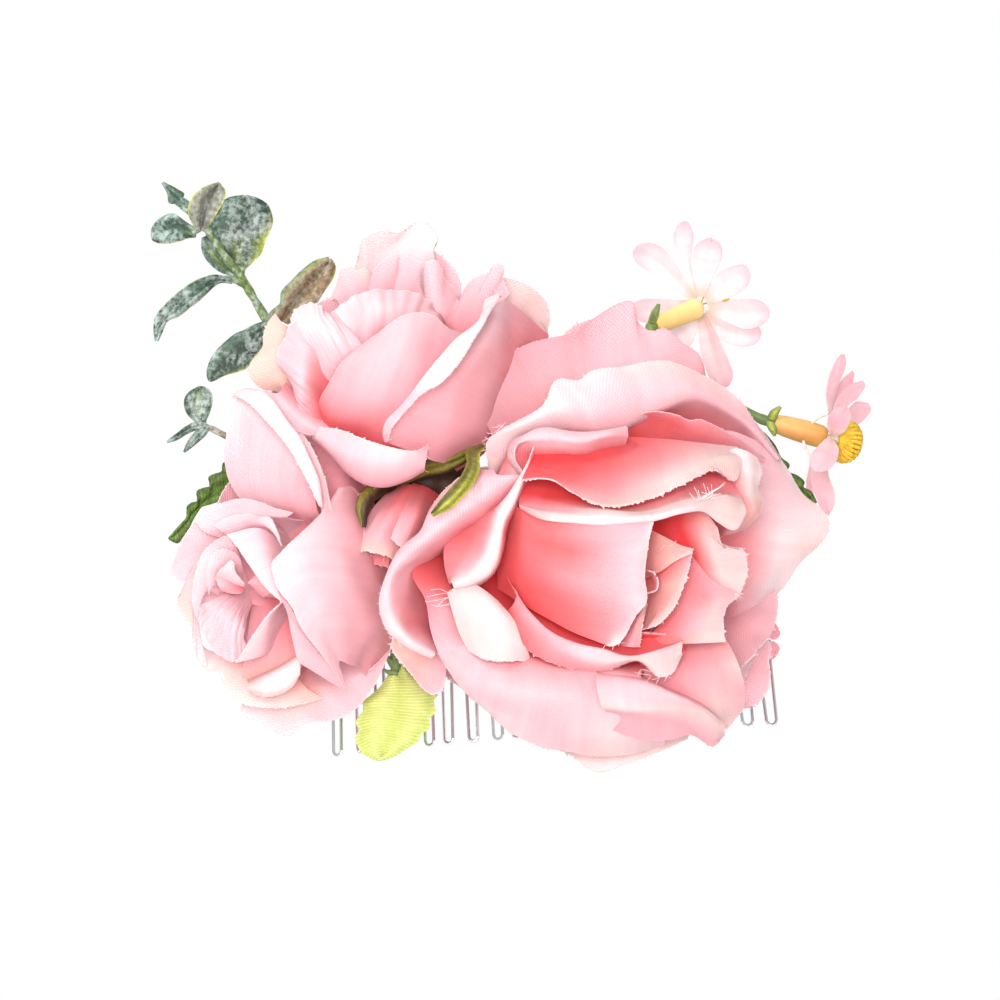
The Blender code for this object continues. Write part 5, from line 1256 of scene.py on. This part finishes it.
def height_shaded_moulding(name, pale, deep, low, high, rough=0.5):
    """A moulding whose colour runs from pale to deep with height and a little noise; the darker low side is painted
    shade.
    """
    m, nt, shader = nodes_of(name)
    coord = nt.nodes.new("ShaderNodeTexCoord")
    split = nt.nodes.new("ShaderNodeSeparateXYZ")
    nt.links.new(coord.outputs["Object"], split.inputs[0])
    spots = nt.nodes.new("ShaderNodeTexNoise")
    spots.inputs["Scale"].default_value = 600
    nt.links.new(coord.outputs["Object"], spots.inputs["Vector"])
    height = nt.nodes.new("ShaderNodeMapRange")
    height.inputs["From Min"].default_value = low
    height.inputs["From Max"].default_value = high
    nt.links.new(split.outputs["Z"], height.inputs["Value"])
    mixed = math_node(nt, "ADD", height.outputs[0], math_node(nt, "MULTIPLY", math_node(nt, "SUBTRACT", spots.outputs["Fac"], 0.5), 0.5))
    nt.links.new(ramp(nt, mixed, [(0.0, lin(deep)), (1.0, lin(pale))]), shader.inputs["Base Color"])
    shader.inputs["Roughness"].default_value = rough
    raised = nt.nodes.new("ShaderNodeBump")
    raised.inputs["Strength"].default_value = 0.3
    raised.inputs["Distance"].default_value = 0.0001
    nt.links.new(spots.outputs["Fac"], raised.inputs["Height"])
    nt.links.new(raised.outputs[0], shader.inputs["Normal"])
    return m


low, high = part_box("filler_upper_tube")
STRAW_PALE = height_shaded_moulding("straw_pale", (236, 224, 160), (214, 196, 112), low[2], high[2])
turned_along("filler_upper_tube_drawn", up_sheet, (654, 326, 3.6), (700, 307, -1.2), [(0, 1.1), (0.04, 1.4), (0.3, 1.6), (0.75, 1.75), (0.93, 1.7), (1.0, 1.2)], STRAW_PALE, ["filler_upper_tube"])
low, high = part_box("filler_right_tube")
STRAW_TAN = height_shaded_moulding("straw_tan", (214, 188, 112), (184, 140, 66), low[2] + 0.001, high[2] - 0.001)
turned_along("filler_right_tube_drawn", right_sheet, (774, 423, 3.6), (826, 438, 3.0), [(0, 1.2), (0.05, 1.5), (0.3, 1.8), (0.7, 1.95), (0.92, 1.8), (1.0, 1.3)], STRAW_TAN, ["filler_right_tube"])
FRESH = plain_skin("fresh_green", (112, 146, 62), mottle=0.3, rough=0.45)
SPRING = leaf_skin("spring_green", mottle=0.25, rough=0.5)
turned_along("filler_upper_bulb", up_sheet, (647, 330, 4.4), (656, 325, 3.4), [(0, 0.5), (0.3, 1.0), (0.7, 1.15), (1.0, 0.9)], FRESH, [])
rods("filler_upper_stem_drawn", [
    (drawn(up_sheet, [(603, 452, 12), (622, 410, 8), (640, 360, 6), (646, 340, 5), (650, 329, 4)]), 0.00055, 0.00075, 18),
], SPRING, ["filler_upper_stem"], tint="g", bumpy=0.15)
rods("filler_right_stem_drawn", [
    (drawn(right_sheet, [(668, 446, 6), (706, 416, 5), (732, 406, 3.6), (750, 414, 3.4), (764, 420, 3.6), (776, 423, 3.6)]), 0.0004, 0.0010, 26),
], SPRING, ["filler_right_stem"], tint="g", bumpy=0.15)
for name, sheet_, left, mid, right, colours in (
    ("filler_upper_sepal_1", up_sheet, [(648, 322, 4.6), (651, 313, 5.4), (658, 304, 5.6)], [(651, 323, 5), (654, 314, 5.8), (658, 304, 5.6)], [(655, 323, 4.8), (658, 314, 5.4), (659, 304, 5.6)], ["y", "y", "g", "g", "g", "y", "Y"]),
    ("filler_upper_sepal_2", up_sheet, [(646, 325, 4.4), (647, 331, 5), (651, 336, 5)], [(650, 325, 4.8), (651, 331, 5.4), (652, 336, 5)], [(654, 326, 4.4), (655, 332, 5), (653, 336, 5)], ["g", "g", "g", "y", "g", "g", "g"]),
    ("filler_right_sepal_1", right_sheet, [(768, 418, 4.4), (771, 411, 5), (780, 406, 5)], [(771, 419, 4.8), (774, 413, 5.4), (780, 407, 5)], [(776, 419, 4.4), (778, 413, 5), (781, 407, 5)], ["g", "g", "y", "Y", "y", "g", "g"]),
    ("filler_right_sepal_2", right_sheet, [(765, 421, 4.4), (768, 428, 5), (774, 436, 5)], [(770, 422, 4.8), (772, 429, 5.4), (774, 436, 5)], [(775, 423, 4.4), (776, 430, 5), (775, 436, 5)], ["g", "g", "y", "Y", "y", "g", "g"]),
):
    blade(name, sheet_, left, mid, right, colours, SPRING, [], cup=0.2, nu=16, thickness=0.3)

STEEL = plain_skin("plated_wire", (230, 236, 240), mottle=0.06, bump=0.12, scale=900, rough=0.16, metal=1.0, distance=0.00003)
GLUE = plain_skin("set_glue", (238, 226, 204), mottle=0.08, bump=0.7, scale=260, rough=0.28, coat=0.4, distance=0.0006)
FELT = plain_skin("felt", (240, 236, 232), mottle=0.14, bump=0.9, scale=1500, rough=0.95, distance=0.0003)
CALYX = plain_skin("calyx_green", (88, 92, 40), mottle=0.45, bump=0.6, scale=420, rough=0.5)
# the upper rose's and the bud's calyxes in dark brown: painted shade where they sit deep between the roses
CALYX_PAINTED_SHADE = plain_skin("calyx_shadow", (66, 44, 32), mottle=0.5, bump=0.7, scale=420, rough=0.6)
CORE = plain_skin("bud_core", (250, 120, 122), mottle=0.2, bump=0.4, scale=300, rough=0.6)
PALE_CORE = plain_skin("pale_bud_core", (250, 184, 192), mottle=0.15, bump=0.4, scale=300, rough=0.7)
YELLOW = plain_skin("stamen_yellow", (244, 200, 70), mottle=0.25, bump=0.8, scale=900, rough=0.7)
for node, finish in {
    "comb_bar": STEEL, "comb_teeth": STEEL, "glue_bed": GLUE, "felt_backing": FELT,
    "rose_large_calyx": CALYX, "rose_upper_calyx": CALYX_PAINTED_SHADE, "rose_lower_calyx": CALYX, "rosebud_calyx": CALYX_PAINTED_SHADE,
    "rose_large_core": CORE, "rose_upper_core": PALE_CORE, "rose_lower_core": PALE_CORE, "rosebud_core": CORE,
    "filler_lower_tube": STRAW_TAN, "filler_lower_stem": FRESH, "filler_lower_stamen": YELLOW,
}.items():
    node = frame["nodes"][node]
    node.data.materials.clear()
    node.data.materials.append(finish)
    node.data.shade_smooth()


# ------------------------------------------------------------------ the outer petals behind each rose
def outline_reach(rows_of, centre, angle, window=18):
    """How far the drawn petals reach from the centre in one direction, and how deep they are there."""
    best = (0.0, 0.0)
    for row in rows_of:
        for x, y, d in row:
            dx, dy = x - centre[0], centre[1] - y
            off = (math.degrees(math.atan2(dy, dx)) - angle + 180) % 360 - 180
            if abs(off) < window:
                best = max(best, (math.hypot(dx, dy) * math.cos(math.radians(off)), d))
    return best


def outer_petals(label, sheet, rows_of, centre, base_d, angles, node, seed, spread=30, share=0.93, drop=5.0, floor_d=3.0):
    for i, angle in enumerate(angles):
        def spot(turn, part, d):
            a = math.radians(angle + turn)
            return centre[0] + math.cos(a) * part, centre[1] - math.sin(a) * part, d

        left, mid, right = (outline_reach(rows_of, centre, angle + t) for t in (-spread, 0, spread))
        deep = [max(r[1] - drop, floor_d) for r in (left, mid, right)]
        size = [max(r[0], mid[0] * 0.55) * share for r in (left, mid, right)]
        low = base_d - 1.5
        rows = [
            [spot(-spread * 0.9, 12, base_d), spot(0, 12, base_d), spot(spread * 0.9, 12, base_d)],
            [spot(-spread * 1.05, size[0] * 0.42, low + (deep[0] - low) * 0.25), spot(0, mid[0] * 0.45, low + (deep[1] - low) * 0.2), spot(spread * 1.05, size[2] * 0.42, low + (deep[2] - low) * 0.25)],
            [spot(-spread * 1.0, size[0] * 0.70, deep[0] * 0.7 + low * 0.3), spot(0, size[1] * 0.80, deep[1] * 0.65 + low * 0.35), spot(spread * 1.0, size[2] * 0.70, deep[2] * 0.7 + low * 0.3)],
            [spot(-spread * 0.9, size[0] * 0.74, deep[0] * 0.8 + low * 0.2), spot(-spread * 0.55, size[0] * 0.3 + size[1] * 0.6, (deep[0] + deep[1]) / 2), spot(0, size[1] * 0.97, deep[1]), spot(spread * 0.5, size[2] * 0.25 + size[1] * 0.68, (deep[1] + deep[2]) / 2), spot(spread * 0.9, size[2] * 0.74, deep[2] * 0.8 + low * 0.2)],
        ]
        petal(f"{label}_outer_{i + 1}", sheet, rows, ["R", "KK", "PKP", "PPP"], seed=seed + i, replaces=[node], wrinkle=0.7, crease=0.25, nu=56, nv=36)


outer_petals("rose_large", rose, [row for p in LARGE for row in p[1]], (574, 512), 10.5, [28, 78, 122, 232, 276, 322], "rose_large_petals_6", 130)
outer_petals("rose_upper", upper, [row for p in UPPER for row in p[2]], (411, 420), 7.5, [44, 88, 134, 176], "rose_upper_petals_4", 150, spread=26, drop=3.5, share=0.9)
outer_petals("rose_lower", lower, [row for p in LOWER for row in p[2]], (352, 568), 6.0, [118, 158, 200, 246], "rose_lower_petals_4", 170, spread=27, drop=4.0, share=0.9)


petal("rose_large_right_under", rose, [
    [(690, 600, 13), (685, 630, 13), (680, 665, 14)],
    [(738, 618, 15), (728, 652, 16), (712, 700, 17)],
    [(752, 607, 15.5), (766, 618, 15.5), (767, 635, 16), (771, 648, 16), (768, 661, 16), (770, 672, 16), (768, 688, 16), (757, 703, 16.5), (740, 709, 17), (722, 720, 17)],
], ["R", "PPP", "PPKPP"], seed=191, replaces=["rose_large_petals_6"], wrinkle=0.4, nv=36)


def cup_petals(label, sheet, centre, ring, node, seed, half=34):
    """Cupped petals standing between the outer ones and the heart; ring lists (angle, reach, rim depth)."""
    for i, (angle, reach, rim) in enumerate(ring):
        def spot(turn, part, d):
            a = math.radians(angle + turn)
            return centre[0] + math.cos(a) * reach * part, centre[1] - math.sin(a) * reach * part, d

        base = 15.0
        rows = [
            [spot(-half, 0.2, base), spot(0, 0.2, base), spot(half, 0.2, base)],
            [spot(-half, 0.66, base + 1.0), spot(0, 0.74, base + 0.5), spot(half, 0.66, base + 1.0)],
            [spot(-half, 0.84, base * 0.5 + rim * 0.5), spot(0, 0.96, base * 0.5 + rim * 0.5), spot(half, 0.84, base * 0.5 + rim * 0.5)],
            [spot(-half, 0.86, rim - 3.0), spot(-half * 0.5, 0.95, rim), spot(0, 0.99, rim + 0.8), spot(half * 0.5, 0.95, rim), spot(half, 0.86, rim - 3.0)],
        ]
        petal(f"{label}_cup_{i + 1}", sheet, rows, ["O", "KK", "PKP", "PPP"], seed=seed + i, replaces=[node], wrinkle=0.5, crease=0.2, nu=52, nv=36)


cup_petals("rose_large", rose, (606, 556), [(-78, 92, 31), (-32, 96, 31), (14, 100, 31), (58, 100, 29), (104, 92, 29), (238, 92, 31)], "rose_large_petals_5", 201)
cup_petals("rose_large_low", rose, (606, 556), [(-60, 128, 24), (-97, 138, 24), (-134, 118, 25)], "rose_large_petals_6", 221)


# ------------------------------------------------------------------ felt pad and glue
def pad(name, node, material, fuzz):
    """The node's slab again as a soft-edged pad with an uneven face."""
    source = frame["nodes"][node]
    mesh = source.data.copy()
    mesh.name = name
    bm = bmesh.new()
    bm.from_mesh(mesh)
    bmesh.ops.remove_doubles(bm, verts=bm.verts, dist=1e-6)
    bmesh.ops.dissolve_limit(bm, angle_limit=math.radians(2), verts=bm.verts, edges=bm.edges)
    bmesh.ops.triangulate(bm, faces=bm.faces)
    for _ in range(7):
        wide = [e for e in bm.edges if e.calc_length() > 0.0011]
        if not wide:
            break
        bmesh.ops.subdivide_edges(bm, edges=wide, cuts=1)
        bmesh.ops.triangulate(bm, faces=bm.faces)
    for _ in range(3):
        bmesh.ops.smooth_vert(bm, verts=bm.verts, factor=0.5, use_axis_x=True, use_axis_y=True, use_axis_z=True)
    bm.normal_update()
    for v in bm.verts:
        v.co += v.normal * (fuzz[0] * noise.noise(v.co * fuzz[1]) + fuzz[0] * 0.4 * noise.noise(v.co * fuzz[1] * 3.1))
    bm.to_mesh(mesh)
    bm.free()
    mesh.materials.clear()
    mesh.materials.append(material)
    mesh.shade_smooth()
    obj = bpy.data.objects.new(name, mesh)
    bpy.context.scene.collection.objects.link(obj)
    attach(obj, BODY)
    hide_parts(node)
    return obj


felt = pad("felt_pad", "felt_backing", FELT, (0.00012, 700))
glue = pad("glue_spread", "glue_bed", GLUE, (0.0007, 190))

# each petal's size is measured from its millimetre UV map, and those under a centimetre each way are skipped; nothing
# is done with the rest
for obj, area, declare in PETALS:
    if not declare or obj.name.startswith(("sprig", "sepal", "filler", "leaf_left", "leaf_right")):
        continue
    corners = [obj.matrix_world @ v.co for v in obj.data.vertices]
    uvs = np.zeros(len(obj.data.loops) * 2, np.float32)
    obj.data.uv_layers["mm"].data.foreach_get("uv", uvs)
    wide, tall = uvs.reshape(-1, 2).max(axis=0) / 1000
    tall = float(tall)
    wide = max(float(wide), area / tall)
    if wide < 0.0101 or tall < 0.0101 or area < 0.32 * wide * tall:
        continue


# ------------------------------------------------------------------ camera, light, floor
def aim(obj, at, up=Vector((0, 0, 1))):
    back = (obj.location - at).normalized()
    right = up.cross(back).normalized()
    obj.matrix_world = Matrix.Translation(obj.location) @ Matrix((right, back.cross(right), back)).transposed().to_4x4()


FRONT_LIGHT = 0.6  # the white room is brightest behind the piece
scene = bpy.context.scene
data = bpy.data.cameras.new("camera")
data.sensor_width = 36
data.lens = 36 * EYE / (1000 * UNIT)
data.clip_start, data.clip_end = 0.05, 20
camera = bpy.data.objects.new("camera", data)
scene.collection.objects.link(camera)
target = MOUNT + RIGHT * (500 - 540) * UNIT - UP * (500 - 515) * UNIT
camera.location = target - AWAY * EYE
aim(camera, target, UP)
scene.camera = camera

world = bpy.data.worlds.new("studio")
scene.world = world
world.use_nodes = True
wt = world.node_tree
sky = wt.nodes.new("ShaderNodeTexCoord")
facing = wt.nodes.new("ShaderNodeSeparateXYZ")
wt.links.new(sky.outputs["Generated"], facing.inputs[0])
spread = wt.nodes.new("ShaderNodeMapRange")
spread.interpolation_type = "SMOOTHSTEP"
for key, value in (("From Min", -0.1), ("From Max", 0.6), ("To Min", 0.0), ("To Max", 1.0)):
    spread.inputs[key].default_value = value
wt.links.new(facing.outputs["Y"], spread.inputs["Value"])
wt.links.new(mix_colour(wt, spread.outputs["Result"], tuple(FRONT_LIGHT * c for c in (1.0, 0.92, 0.91)), (1.0, 1.0, 1.0)), wt.nodes["Background"].inputs["Color"])
wt.nodes["Background"].inputs["Strength"].default_value = 1.0
scene.view_settings.view_transform = "Standard"


def area_light(name, where, size, power, colour=(1, 1, 1)):
    light = bpy.data.lights.new(name, "AREA")
    light.shape = "DISK"
    light.size = size
    light.energy = power
    light.color = colour
    obj = bpy.data.objects.new(name, light)
    scene.collection.objects.link(obj)
    obj.location = Vector(where)
    aim(obj, MOUNT)
    return obj


area_light("key", (-0.55, -0.6, 0.75), 0.4, 5.7)
area_light("front", camera.location + UP * 0.12 - RIGHT * 0.06, 0.4, 8.5, (1.0, 0.70, 0.71))

floor_mesh = bpy.data.meshes.new("floor")
floor_mesh.from_pydata([(-3, -3, -0.35), (3, -3, -0.35), (3, 3, -0.35), (-3, 3, -0.35)], [], [(0, 1, 2, 3)])
floor = bpy.data.objects.new("floor", floor_mesh)
scene.collection.objects.link(floor)
white, _, shader = nodes_of("pale_floor")
shader.inputs["Base Color"].default_value = (0.93, 0.93, 0.93, 1)
shader.inputs["Roughness"].default_value = 0.8
floor_mesh.materials.append(white)

bpy.context.view_layer.update()
